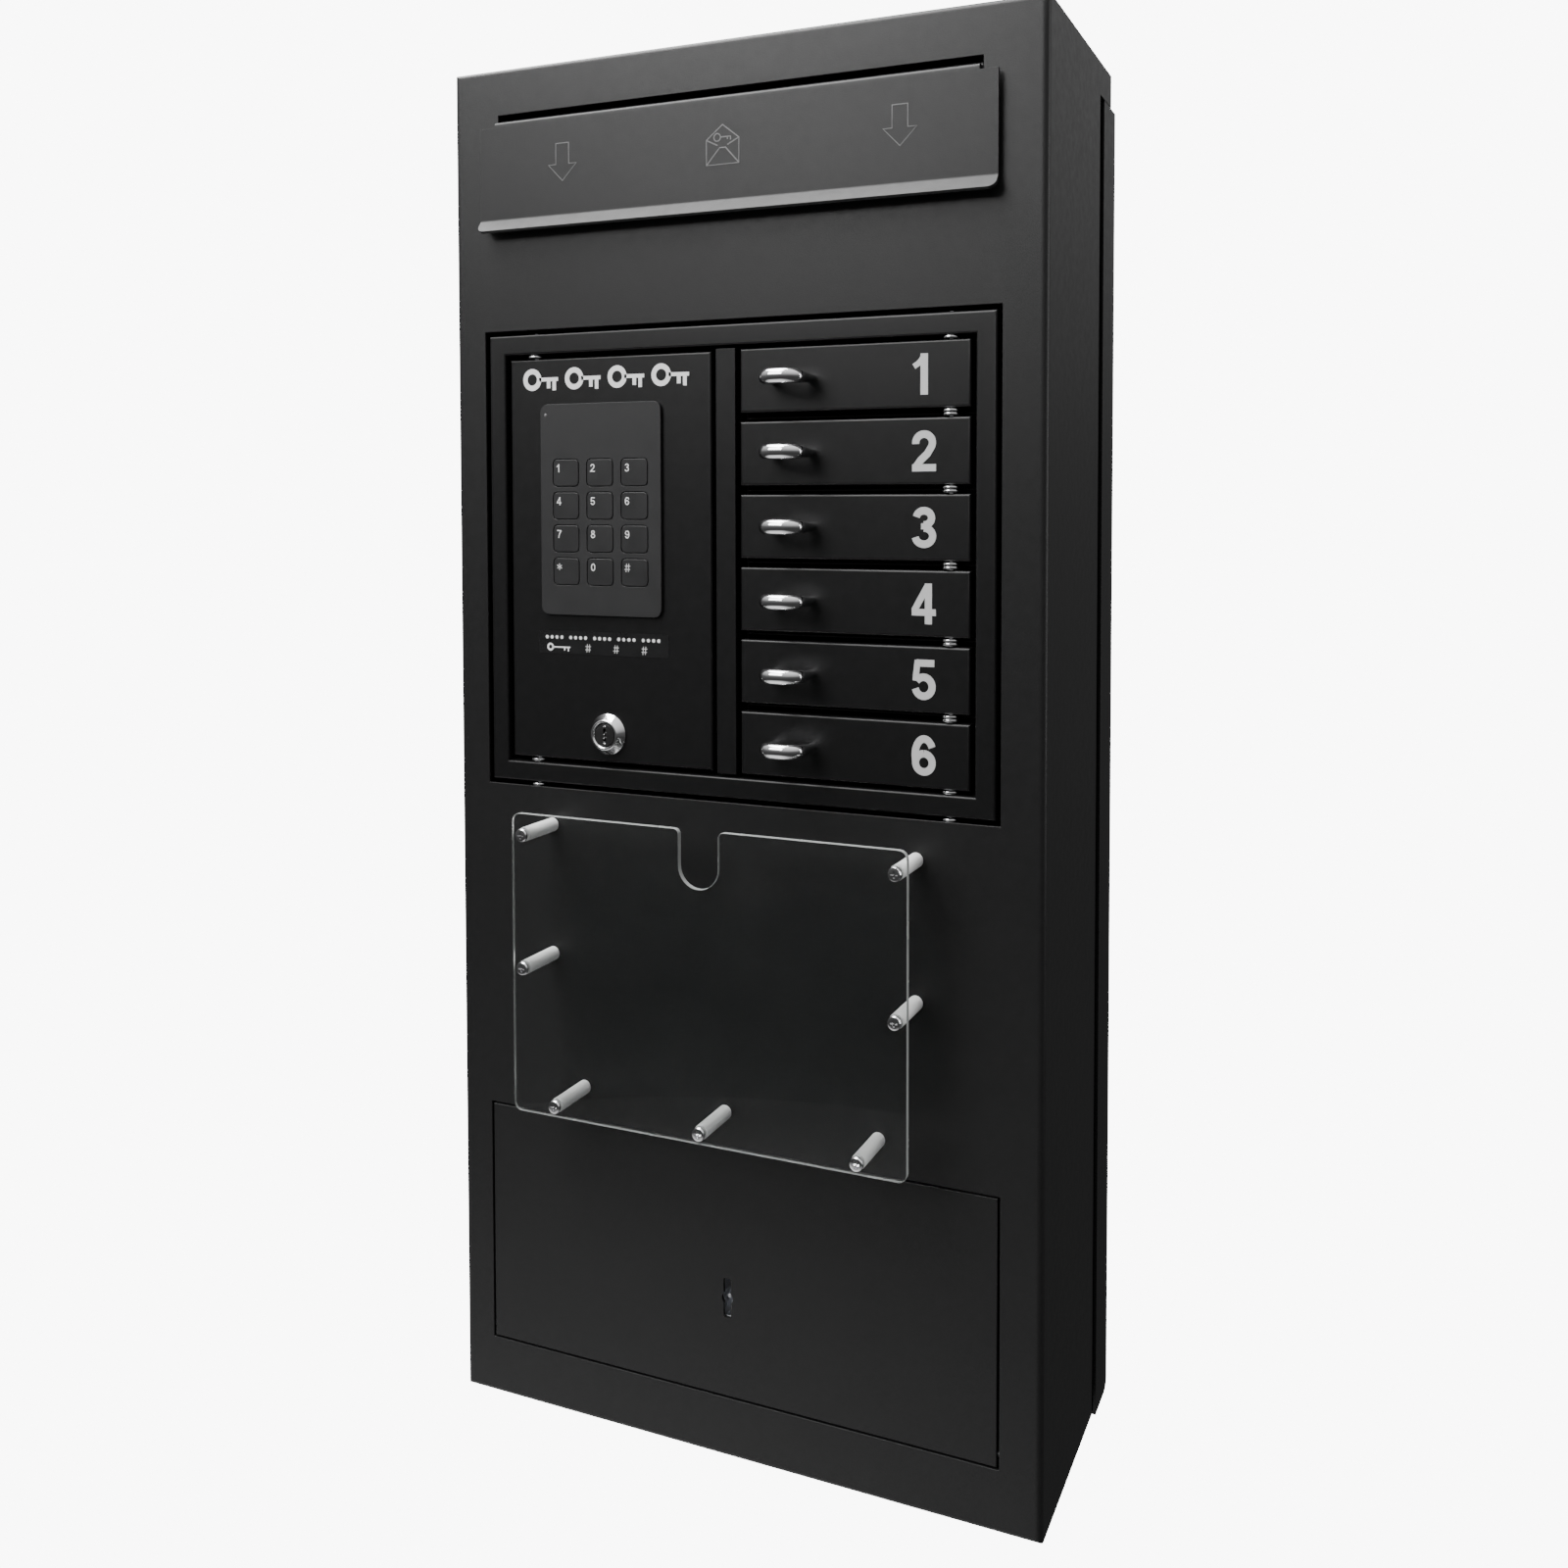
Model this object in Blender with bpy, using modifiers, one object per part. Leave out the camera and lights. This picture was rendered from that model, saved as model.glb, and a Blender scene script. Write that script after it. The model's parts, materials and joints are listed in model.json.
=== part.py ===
"""Wall-mounted key drop and key dispensing cabinet, modelled as separate pieces.

Metres, +Z up. Every piece is drawn in cabinet coordinates: X from the left edge of the hood,
Y from the front face towards the wall, Z from the bottom edge of the hood. The datum empty
carries them all, so that the frame's origin is the middle of the face that rests on the wall.
"""
import math

import bmesh
import bpy
from mathutils import Matrix, Vector

# Overall sizes
CABINET_WIDTH = 0.387
CABINET_HEIGHT = 0.840
CABINET_DEPTH = 0.1536          # hood face to wall
FACE_CENTRE_OFFSET = -0.0017    # the cut-outs sit a little left of the middle
SHEET = 0.002                   # hood, wall tray, flap, lower door
THIN_SHEET = 0.0015             # module case, small doors, liner, guides
SHELF_SHEET = 0.001
TOUCH_GAP = 0.0003              # between pieces that touch
CUT_DEPTH = 0.008               # how deep the front cut-outs reach

# Hood: folded front, sides, roof and a short floor
HOOD_BEND = 0.0035
HOOD_SIDE_DEPTH = 0.1136
HOOD_ROOF_DEPTH = 0.1423
HOOD_ROOF_BAND = 0.020          # height of the deep band under the roof
HOOD_FLOOR_DEPTH = 0.060
HOOD_FLOOR_SIDE_GAP = 0.0005

# Wall tray
TRAY_FLANGE = 0.0296
TRAY_DROP = 0.007               # how far it hangs below the hood
TRAY_FOOT_BEND = 0.007
WALL_HOLE_RADIUS = 0.004
WALL_HOLE_INSET = 0.045
CABLE_HOLE_RADIUS = 0.012
CABLE_HOLE_DROP = 0.040         # below the top of the key module

# Liner: the inner tube seen in the shadow gap between hood and tray
LINER_INSET = 0.005
LINER_FRONT = 0.062
LINER_BACK_GAP = 0.0086

# Key inlet at the top
INLET_WIDTH = 0.317
INLET_HEIGHT = 0.0483
INLET_FROM_TOP = 0.0287
FLAP_SIDE_CLEARANCE = 0.0008
FLAP_SHOULDER = 0.0100          # how far the flap overlaps the hood beside the inlet
FLAP_STANDOFF = 0.0025          # hood face to the back of the flap
FLAP_AXIS_DEPTH = 0.0042
FLAP_AXIS_FROM_TOP = 0.0053     # below the inlet's upper edge
FLAP_HEIGHT = 0.0600            # neck to lip bend
FLAP_LIP_DROP = 0.0072
FLAP_LIP_OUT = 0.0050
FLAP_SHOULDER_DROP = 0.0035
FLAP_BEND = 0.0022
FLAP_CORNER = 0.005
FLAP_WELD_LAP = 0.0006          # neck sheet into the barrel
FLAP_ROD_RADIUS = 0.0015
FLAP_BARREL_WALL = 0.0010
ROD_CLEARANCE = 0.0003
EAR_THICKNESS = 0.003
EAR_WALL = 0.0045               # around the rod
EAR_SET_BACK = 0.001            # beside the opening

# Chute and baffle behind the inlet
GUIDE_SIDE_GAP = 0.008
CHUTE_LIP = 0.016
CHUTE_BEHIND_MODULE = 0.007
CHUTE_OVER_MODULE = 0.0243      # end of the slope above the top of the key module
CHUTE_TAIL = 0.012
CHUTE_STEP = 0.001              # below the lower edge of the inlet
BAFFLE_DEPTH = 0.040
BAFFLE_FLANGE = 0.015
BAFFLE_DROP = 0.022
BAFFLE_SLOPE_OUT = 0.018
BAFFLE_SLOPE_DROP = 0.043

# Key module
MODULE_BASE = 0.398
MODULE_DEPTH = 0.085
MODULE_GAP = 0.0027             # hood cut-out around the module
MODULE_FLANGE = 0.0122
MODULE_BEND = 0.0018
MOUTH_RETURN = 0.0095           # fold of the flange into the mouth
DOOR_COUNT = 6
DOOR_WIDTH = 0.142
DOOR_HEIGHT = 0.0371
DOOR_GAP = 0.0051               # between one small door and the next
DOOR_END_GAP = 0.0026
SIDE_GAP = 0.0031               # beside the doors and the post
DOOR_SET_BACK = 0.001           # door face behind the hood face
DOOR_RETURN = 0.008
DOOR_BEND = 0.0011
POST_WIDTH = 0.0128
POST_RETURN = 0.011
POST_END_GAP = 0.002
RACK_FRONT = 0.012
RACK_WALL_OFFSET = 0.0014       # compartment wall beyond the post
RACK_END_GAP = 0.0005
LATCH_WINDOW = 0.009
CONTROL_DOOR_WIDTH = 0.1424
CONTROL_END_GAP = 0.0032
HINGE_DEPTH = 0.006
HINGE_ROD_RADIUS = 0.0015
HINGE_COLLAR_RADIUS = 0.0034
HINGE_COLLAR_HEIGHT = 0.0034
HINGE_ROD_PROUD = 0.0023        # rod ends past the module case
DOOR_HINGE_INSET = 0.0128
CONTROL_HINGE_INSET = 0.0164
STRIKE_REACH = 0.013
STRIKE_HEIGHT = 0.010

# Bow handles
HANDLE_GRIP = 0.0042            # bar radius where the finger pulls
HANDLE_FOOT = 0.0027
HANDLE_SPAN = 0.0230
HANDLE_REACH = 0.0195           # door face to bar centre
HANDLE_INSET = 0.0340           # door edge to the middle of the bow
HANDLE_CORNER = 0.0092

# Electric latches on their rail
LATCH_DEPTH = 0.022
LATCH_HEIGHT = 0.024
LATCH_FRONT = 0.014
LATCH_NOSE = 0.006
RAIL_THICKNESS = 0.002
RAIL_END = 0.004                # past the first and last latch
RAIL_SET_BACK = 0.004
RAIL_BEHIND = 0.006
NOSE_RECESS = 0.0002            # nose behind the face of the compartment wall

# Keypad
KEYPAD_WIDTH = 0.0856
KEYPAD_HEIGHT = 0.1291
KEYPAD_THICKNESS = 0.0018
KEYPAD_FROM_LEFT = 0.0236
KEYPAD_FROM_TOP = 0.0280
KEYPAD_CORNER = 0.005
KEY_WIDTH = 0.0183
KEY_HEIGHT = 0.0163
KEY_PITCH_X = 0.0244
KEY_PITCH_Z = 0.0201
KEY_FROM_TOP = 0.0340
KEY_THICKNESS = 0.0011
KEY_PROUD = 0.0001
KEY_CORNER = 0.0024
KEY_CLEARANCE = 0.0004
KEY_NAMES = ("1", "2", "3", "4", "5", "6", "7", "8", "9", "star", "0", "hash")

# Cam lock of the control door
LOCK_FROM_LEFT = 0.0702
LOCK_FROM_BOTTOM = 0.0176
LOCK_BEZEL_RADIUS = 0.0125
LOCK_FACE_RADIUS = 0.0083
LOCK_BEZEL_PROUD = 0.0050
LOCK_BEZEL_RIM = 0.001
LOCK_PLUG_RECESS = 0.0008
LOCK_BODY_RADIUS = 0.0090
LOCK_BODY_LENGTH = 0.008
LOCK_PLUG_RADIUS = 0.0068
LOCK_PLUG_CLEARANCE = 0.0003
LOCK_NUT_WALL = 0.0040          # hexagon corner outside the thread
LOCK_NUT_THICKNESS = 0.003
LOCK_THREAD_CLEARANCE = 0.0003
KEYWAY_WIDTH = 0.0016
KEYWAY_HEIGHT = 0.0080
KEYWAY_DEPTH = 0.008
CAM_LENGTH = 0.0270
CAM_WIDTH = 0.012
CAM_THICKNESS = 0.002
CAM_CORNER = 0.004

# Electronics behind the control door
CONTROLLER_WIDTH = 0.105
CONTROLLER_HEIGHT = 0.120
CONTROLLER_DEPTH = 0.030
BATTERY_WIDTH = 0.105
BATTERY_HEIGHT = 0.040
BATTERY_DEPTH = 0.030
BAY_INSET = 0.020
BATTERY_LIFT = 0.020
CONTROLLER_LIFT = 0.085
UNIT_EDGE = 0.002

# Clear document holder
PLATE_WIDTH = 0.2554
PLATE_HEIGHT = 0.1808
PLATE_BASE = 0.2050
PLATE_THICKNESS = 0.003
PLATE_CORNER = 0.005
NOTCH_WIDTH = 0.0256
NOTCH_DEPTH = 0.0338
STANDOFF_RADIUS = 0.0043
STANDOFF_LENGTH = 0.0280
STANDOFF_BORE = 0.0023
STANDOFF_CHAMFER = 0.0008
STANDOFF_SIDE_INSET = 0.0070
STANDOFF_TOP_DROP = 0.0130
STANDOFF_MIDDLE_DROP = 0.0936
STANDOFF_BOTTOM_RISE = 0.0063
STANDOFF_BOTTOM_SPREAD = 0.0984

# Lower door, its hinge and its lock
LOWER_DOOR_WIDTH = 0.3380
LOWER_DOOR_HEIGHT = 0.1513
LOWER_DOOR_BASE = 0.0378
LOWER_GAP = 0.0013
LOWER_RETURN = 0.012
LOWER_BEND = 0.0006
LOWER_AXIS_DEPTH = 0.0042
LOWER_AXIS_RISE = 0.0052
LOWER_ROD_RADIUS = 0.0015
LOWER_KNUCKLE = 0.0036
LOWER_KNUCKLE_LENGTH = 0.010
LOWER_KNUCKLE_SHIFT = (0.001, 0.0006)   # barrel middle behind and above the rod
KEYHOLE_WIDTH = 0.0050
KEYHOLE_HEIGHT = 0.0240
KEYHOLE_EYE_RADIUS = 0.0037
KEYHOLE_RISE = 0.0598
KEYHOLE_DEPTH = 0.014
KEYHOLE_CORNER = 0.0012
LOCK_CASE_WIDTH = 0.054
LOCK_CASE_HEIGHT = 0.075
LOCK_CASE_DEPTH = 0.020
LOCK_CASE_BELOW = 0.022
LOCK_PIN_RADIUS = 0.0013
LOCK_PIN_RECESS = 0.0003        # pin end behind the front of the case
BOLT_WIDTH = 0.024
BOLT_THICKNESS = 0.008
BOLT_CLEARANCE = 0.0004
BOLT_DEPTH_OFFSET = 0.006
BOLT_BELOW_EDGE = 0.0006
BOLT_TAIL = 0.030               # length inside the case
BOLT_EDGE = 0.001
STRIKE_BAR_WIDTH = 0.070
STRIKE_BAR_HEIGHT = 0.014
STRIKE_BAR_RISE = 0.0012         # above the lower opening

# Finishes: colour, roughness, metallic
FINISHES = {
    "black_coat": ((0.030, 0.030, 0.031), 0.55, 0.0),
    "inner_black": ((0.015, 0.015, 0.015), 0.70, 0.0),
    "chrome": ((0.80, 0.80, 0.81), 0.08, 1.0),
    "zinc": ((0.55, 0.56, 0.58), 0.35, 1.0),
    "keypad_grey": ((0.045, 0.045, 0.047), 0.50, 0.0),
    "clear_acrylic": ((0.90, 0.92, 0.93), 0.05, 0.0),
    "white_nylon": ((0.70, 0.70, 0.70), 0.45, 0.0),
    "dark_plastic": ((0.040, 0.042, 0.045), 0.60, 0.0),
}

# Derived places
FACE_CENTRE = CABINET_WIDTH / 2 + FACE_CENTRE_OFFSET
INLET_TOP = CABINET_HEIGHT - INLET_FROM_TOP
INLET_LEFT = FACE_CENTRE - INLET_WIDTH / 2
INLET_RIGHT = FACE_CENTRE + INLET_WIDTH / 2
FLAP_AXIS = (FACE_CENTRE, FLAP_AXIS_DEPTH, INLET_TOP - FLAP_AXIS_FROM_TOP)
MOUTH_WIDTH = CONTROL_DOOR_WIDTH + POST_WIDTH + DOOR_WIDTH + 4 * SIDE_GAP
MOUTH_HEIGHT = DOOR_COUNT * DOOR_HEIGHT + (DOOR_COUNT - 1) * DOOR_GAP + 2 * DOOR_END_GAP
MOUTH_LEFT = FACE_CENTRE - MOUTH_WIDTH / 2
MOUTH_RIGHT = MOUTH_LEFT + MOUTH_WIDTH
MOUTH_BASE = MODULE_BASE + MODULE_FLANGE
MOUTH_TOP = MOUTH_BASE + MOUTH_HEIGHT
MODULE_LEFT = MOUTH_LEFT - MODULE_FLANGE
MODULE_RIGHT = MOUTH_RIGHT + MODULE_FLANGE
MODULE_TOP = MOUTH_TOP + MODULE_FLANGE
CONTROL_LEFT = MOUTH_LEFT + SIDE_GAP
CONTROL_RIGHT = CONTROL_LEFT + CONTROL_DOOR_WIDTH
POST_LEFT = CONTROL_RIGHT + SIDE_GAP
POST_RIGHT = POST_LEFT + POST_WIDTH
DOOR_LEFT = POST_RIGHT + SIDE_GAP
DOOR_RIGHT = DOOR_LEFT + DOOR_WIDTH
DOOR_PITCH = DOOR_HEIGHT + DOOR_GAP
CONTROL_BASE = MOUTH_BASE + CONTROL_END_GAP
CONTROL_TOP = MOUTH_TOP - CONTROL_END_GAP
RACK_WALL = POST_RIGHT + RACK_WALL_OFFSET
RACK_BACK = MODULE_DEPTH - THIN_SHEET - TOUCH_GAP
DOOR_HINGE_X = DOOR_RIGHT - DOOR_HINGE_INSET
CONTROL_HINGE_X = CONTROL_LEFT + CONTROL_HINGE_INSET
LOCK_X = CONTROL_LEFT + LOCK_FROM_LEFT
LOCK_Z = CONTROL_BASE + LOCK_FROM_BOTTOM
LOCK_BODY_END = DOOR_SET_BACK + THIN_SHEET + LOCK_BODY_LENGTH
PLATE_LEFT = FACE_CENTRE - PLATE_WIDTH / 2
PLATE_TOP = PLATE_BASE + PLATE_HEIGHT
PLATE_BACK = -(STANDOFF_LENGTH + 2 * TOUCH_GAP)
LOWER_LEFT = FACE_CENTRE - LOWER_DOOR_WIDTH / 2
LOWER_RIGHT = LOWER_LEFT + LOWER_DOOR_WIDTH
LOWER_TOP = LOWER_DOOR_BASE + LOWER_DOOR_HEIGHT
LOWER_AXIS_Z = LOWER_DOOR_BASE + LOWER_AXIS_RISE
KEYHOLE_Z = LOWER_DOOR_BASE + KEYHOLE_RISE
STANDOFF_PLACES = (
    (-PLATE_WIDTH / 2 + STANDOFF_SIDE_INSET, PLATE_HEIGHT - STANDOFF_TOP_DROP),
    (PLATE_WIDTH / 2 - STANDOFF_SIDE_INSET, PLATE_HEIGHT - STANDOFF_TOP_DROP),
    (-PLATE_WIDTH / 2 + STANDOFF_SIDE_INSET, PLATE_HEIGHT - STANDOFF_MIDDLE_DROP),
    (PLATE_WIDTH / 2 - STANDOFF_SIDE_INSET, PLATE_HEIGHT - STANDOFF_MIDDLE_DROP),
    (-STANDOFF_BOTTOM_SPREAD, STANDOFF_BOTTOM_RISE),
    (0.0, STANDOFF_BOTTOM_RISE),
    (STANDOFF_BOTTOM_SPREAD, STANDOFF_BOTTOM_RISE),
)
PAST = 0.004                    # how far a cutter runs past what it cuts


def clear_scene():
    for item in list(bpy.data.objects):
        bpy.data.objects.remove(item, do_unlink=True)


def make_collection(name):
    collection = bpy.data.collections.new(name)
    bpy.context.scene.collection.children.link(collection)
    return collection


clear_scene()
PARTS = make_collection("key_drop_cabinet")
CUTTERS = make_collection("cutters")
DATUM = bpy.data.objects.new("cabinet_datum", None)
DATUM.location = (-CABINET_WIDTH / 2, -CABINET_DEPTH, -CABINET_HEIGHT / 2)
PARTS.objects.link(DATUM)


# Helpers

def finish_material(name, finish):
    colour, roughness, metallic = FINISHES[finish]
    material = bpy.data.materials.new(name + "_" + finish)
    material.use_nodes = True
    shader = material.node_tree.nodes["Principled BSDF"]
    shader.inputs["Base Color"].default_value = (*colour, 1.0)
    shader.inputs["Roughness"].default_value = roughness
    shader.inputs["Metallic"].default_value = metallic
    if finish == "clear_acrylic":
        shader.inputs["Transmission Weight"].default_value = 1.0
    return material


def add_block(bm, low, high):
    """Add a box between two corners and return its vertices."""
    size = [b - a for a, b in zip(low, high)]
    middle = [(a + b) / 2 for a, b in zip(low, high)]
    matrix = Matrix.Translation(middle) @ Matrix.Diagonal((*size, 1.0))
    return bmesh.ops.create_cube(bm, size=1.0, matrix=matrix)["verts"]


def add_cylinder(bm, centre, radius, low, high, axis, sides=20):
    """Add a capped cylinder about an axis letter, between two places along it."""
    turn = {"X": Matrix.Rotation(math.pi / 2, 4, "Y"), "Y": Matrix.Rotation(math.pi / 2, 4, "X"),
            "Z": Matrix.Identity(4)}[axis]
    place = list(centre)
    place["XYZ".index(axis)] = (low + high) / 2
    return bmesh.ops.create_cone(bm, cap_ends=True, segments=sides, radius1=radius, radius2=radius,
                                 depth=high - low, matrix=Matrix.Translation(place) @ turn)["verts"]


def edges_along(bm, axis):
    """Edges that run along one axis letter."""
    index = "XYZ".index(axis)
    found = []
    for edge in bm.edges:
        run = edge.verts[1].co - edge.verts[0].co
        if abs(run[index]) > 0.999 * run.length:
            found.append(edge)
    return found


def rim_edges(bm, index, value):
    """Edges whose two ends lie in the plane where coordinate index has the value."""
    return [edge for edge in bm.edges
            if all(abs(vert.co[index] - value) < 1e-6 for vert in edge.verts)]


def bevel(bm, edges, width, segments):
    bmesh.ops.bevel(bm, geom=edges, offset=width, segments=segments, profile=0.5,
                    affect="EDGES", clamp_overlap=True)


def rounded_block(bm, low, high, corner, segments=3):
    """Add a plate in the XZ plane whose four corners are rounded."""
    piece = bmesh.new()
    add_block(piece, low, high)
    bevel(piece, edges_along(piece, "Y"), corner, segments)
    mesh = bpy.data.meshes.new("rounded")
    piece.to_mesh(mesh)
    piece.free()
    bm.from_mesh(mesh)
    bpy.data.meshes.remove(mesh)


def place(name, bm, finish, pivot=(0.0, 0.0, 0.0), smooth=None):
    """Turn a bmesh in cabinet coordinates into a node whose origin is its pivot."""
    bmesh.ops.translate(bm, verts=bm.verts, vec=-Vector(pivot))
    bmesh.ops.recalc_face_normals(bm, faces=bm.faces)
    mesh = bpy.data.meshes.new(name)
    bm.to_mesh(mesh)
    bm.free()
    mesh.materials.append(finish_material(name, finish))
    if smooth:
        mesh.shade_smooth()
        mesh.set_sharp_from_angle(angle=math.radians(smooth))
    item = bpy.data.objects.new(name, mesh)
    item.location = pivot
    item.parent = DATUM
    PARTS.objects.link(item)
    return item


def tool_shape(name, bm):
    """Keep a bmesh as a Boolean tool that is not part of the model."""
    mesh = bpy.data.meshes.new(name)
    bmesh.ops.recalc_face_normals(bm, faces=bm.faces)
    bm.to_mesh(mesh)
    bm.free()
    item = bpy.data.objects.new(name, mesh)
    item.parent = DATUM
    item.hide_render = True
    item.display_type = "WIRE"
    CUTTERS.objects.link(item)
    return item


def combine(item, bm, operation):
    """Add a Boolean modifier that cuts or joins a bmesh drawn in cabinet coordinates."""
    label = item.name + "_" + operation.lower() + str(len(item.modifiers))
    modifier = item.modifiers.new(label, "BOOLEAN")
    modifier.operation = operation
    modifier.solver = "EXACT"
    modifier.object = tool_shape(label, bm)


def cut_block(item, low, high):
    bm = bmesh.new()
    add_block(bm, low, high)
    combine(item, bm, "DIFFERENCE")


def cut_cylinder(item, centre, radius, low, high, axis, sides=16):
    bm = bmesh.new()
    add_cylinder(bm, centre, radius, low, high, axis, sides)
    combine(item, bm, "DIFFERENCE")


def join_block(item, low, high):
    bm = bmesh.new()
    add_block(bm, low, high)
    combine(item, bm, "UNION")


def solidify(item, thickness, side=-1.0):
    """Give an open surface its wall; side -1 grows it behind the faces, +1 in front."""
    modifier = item.modifiers.new("sheet", "SOLIDIFY")
    modifier.thickness = thickness
    modifier.offset = side
    modifier.use_even_offset = True


def sheet_box(name, low, high, open_y, bent_edges, bend, finish):
    """A box folded from sheet with one Y side left open; bent_edges picks the rounded bends."""
    bm = bmesh.new()
    add_block(bm, low, high)
    lids = [face for face in bm.faces if all(abs(v.co.y - open_y) < 1e-6 for v in face.verts)]
    bmesh.ops.delete(bm, geom=lids, context="FACES_ONLY")
    bevel(bm, bent_edges(bm), bend, 3)
    item = place(name, bm, finish)
    solidify(item, SHEET)
    return item


def pan(name, low, high, wall, bend, finish, pivot):
    """A door panel with returns on its four sides, open towards the wall."""
    bm = bmesh.new()
    add_block(bm, low, high)
    bevel(bm, rim_edges(bm, 1, low[1]), bend, 2)
    item = place(name, bm, finish, pivot)
    cut_block(item, (low[0] + wall, low[1] + wall, low[2] + wall),
              (high[0] - wall, high[1] + PAST, high[2] - wall))
    return item


def rounded_path(points, radius, steps=3):
    """Replace each inner corner of a polyline by an arc of the given radius."""
    path = [Vector(points[0])]
    for before, corner, after in zip(points, points[1:], points[2:]):
        corner = Vector(corner)
        back = (Vector(before) - corner).normalized()
        ahead = (Vector(after) - corner).normalized()
        half = back.angle(ahead) / 2
        reach = radius / math.tan(half)
        centre = corner + (back + ahead).normalized() * (radius / math.sin(half))
        first = (corner + back * reach - centre).normalized()
        last = (corner + ahead * reach - centre).normalized()
        for step in range(steps + 1):
            path.append(centre + first.slerp(last, step / steps) * radius)
    path.append(Vector(points[-1]))
    return path


def folded_sheet(name, profile, x_low, x_high, wall, finish, pivot=(0.0, 0.0, 0.0), side=-1.0):
    """A sheet whose outline in the YZ plane is the profile, drawn along X."""
    bm = bmesh.new()
    rail = [bm.verts.new((x_low, y, z)) for y, z in profile]
    edges = [bm.edges.new(pair) for pair in zip(rail, rail[1:])]
    drawn = bmesh.ops.extrude_edge_only(bm, edges=edges)["geom"]
    moved = [part for part in drawn if isinstance(part, bmesh.types.BMVert)]
    bmesh.ops.translate(bm, verts=moved, vec=(x_high - x_low, 0.0, 0.0))
    item = place(name, bm, finish, pivot)
    solidify(item, wall, side)
    return item


def turned(name, profile, finish, centre, axis, steps):
    """Spin a profile of (radius, distance) pairs about an axis letter through the centre."""
    mesh = bpy.data.meshes.new(name)
    bm = bmesh.new()
    verts = [bm.verts.new((radius, 0.0, along)) for radius, along in profile]
    for pair in zip(verts, verts[1:]):
        bm.edges.new(pair)
    bm.to_mesh(mesh)
    bm.free()
    mesh.materials.append(finish_material(name, finish))
    item = bpy.data.objects.new(name, mesh)
    item.parent = DATUM
    item.location = centre
    if axis == "Y":
        item.rotation_euler = (math.pi / 2, 0.0, 0.0)
    PARTS.objects.link(item)
    screw = item.modifiers.new("turn", "SCREW")
    screw.axis = "Z"
    screw.steps = steps
    screw.render_steps = steps
    screw.use_merge_vertices = True
    screw.merge_threshold = 0.00001
    screw.use_smooth_shade = True
    return item


# Casing

def housing_shell():
    """Hood with its cut-outs and the ears that hold the two horizontal hinge rods."""
    hood = sheet_box("housing_shell", (0.0, 0.0, 0.0),
                     (CABINET_WIDTH, HOOD_ROOF_DEPTH, CABINET_HEIGHT), HOOD_ROOF_DEPTH,
                     lambda bm: rim_edges(bm, 1, 0.0), HOOD_BEND, "black_coat")
    cut_block(hood, (-PAST, HOOD_SIDE_DEPTH, -PAST),
              (CABINET_WIDTH + PAST, HOOD_ROOF_DEPTH + PAST, CABINET_HEIGHT - HOOD_ROOF_BAND))
    floor_cut = LINER_INSET - HOOD_FLOOR_SIDE_GAP
    cut_block(hood, (floor_cut, HOOD_FLOOR_DEPTH, -PAST),
              (CABINET_WIDTH - floor_cut, HOOD_ROOF_DEPTH, SHEET + HOOD_FLOOR_SIDE_GAP))
    join_block(hood, (SHEET / 2, HOOD_ROOF_DEPTH - SHEET, CABINET_HEIGHT - HOOD_ROOF_BAND),
               (CABINET_WIDTH - SHEET / 2, HOOD_ROOF_DEPTH, CABINET_HEIGHT - SHEET / 2))
    cut_block(hood, (INLET_LEFT, -PAST, INLET_TOP - INLET_HEIGHT),
              (INLET_RIGHT, CUT_DEPTH, INLET_TOP))
    cut_block(hood, (MODULE_LEFT - MODULE_GAP, -PAST, MODULE_BASE - MODULE_GAP),
              (MODULE_RIGHT + MODULE_GAP, CUT_DEPTH, MODULE_TOP + MODULE_GAP))
    cut_block(hood, (LOWER_LEFT - LOWER_GAP, -PAST, LOWER_DOOR_BASE - LOWER_GAP),
              (LOWER_RIGHT + LOWER_GAP, CUT_DEPTH, LOWER_TOP + LOWER_GAP))
    holes = bmesh.new()
    for x, z in STANDOFF_PLACES:
        centre = (FACE_CENTRE + x, 0.0, PLATE_BASE + z)
        add_cylinder(holes, centre, STANDOFF_BORE, -PAST, CUT_DEPTH, "Y", 12)
    combine(hood, holes, "DIFFERENCE")
    add_rod_ears(hood, INLET_LEFT, INLET_RIGHT, FLAP_AXIS_DEPTH, FLAP_AXIS[2], FLAP_ROD_RADIUS)
    add_rod_ears(hood, LOWER_LEFT - LOWER_GAP, LOWER_RIGHT + LOWER_GAP,
                 LOWER_AXIS_DEPTH, LOWER_AXIS_Z, LOWER_ROD_RADIUS)
    return hood


def add_rod_ears(hood, x_left, x_right, depth, height, rod_radius):
    """Weld an ear beside each end of an opening, with a hole for the rod."""
    reach = rod_radius + EAR_WALL
    ears = bmesh.new()
    for side_x, side in ((x_left, -1), (x_right, 1)):
        near = side_x + side * EAR_SET_BACK
        far = near + side * EAR_THICKNESS
        add_block(ears, (min(near, far), SHEET / 2, height - reach),
                  (max(near, far), depth + reach, height + reach))
    combine(hood, ears, "UNION")
    cut_cylinder(hood, (0.0, depth, height), rod_radius + ROD_CLEARANCE,
                 x_left - EAR_THICKNESS - PAST, x_right + EAR_THICKNESS + PAST, "X")


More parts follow.
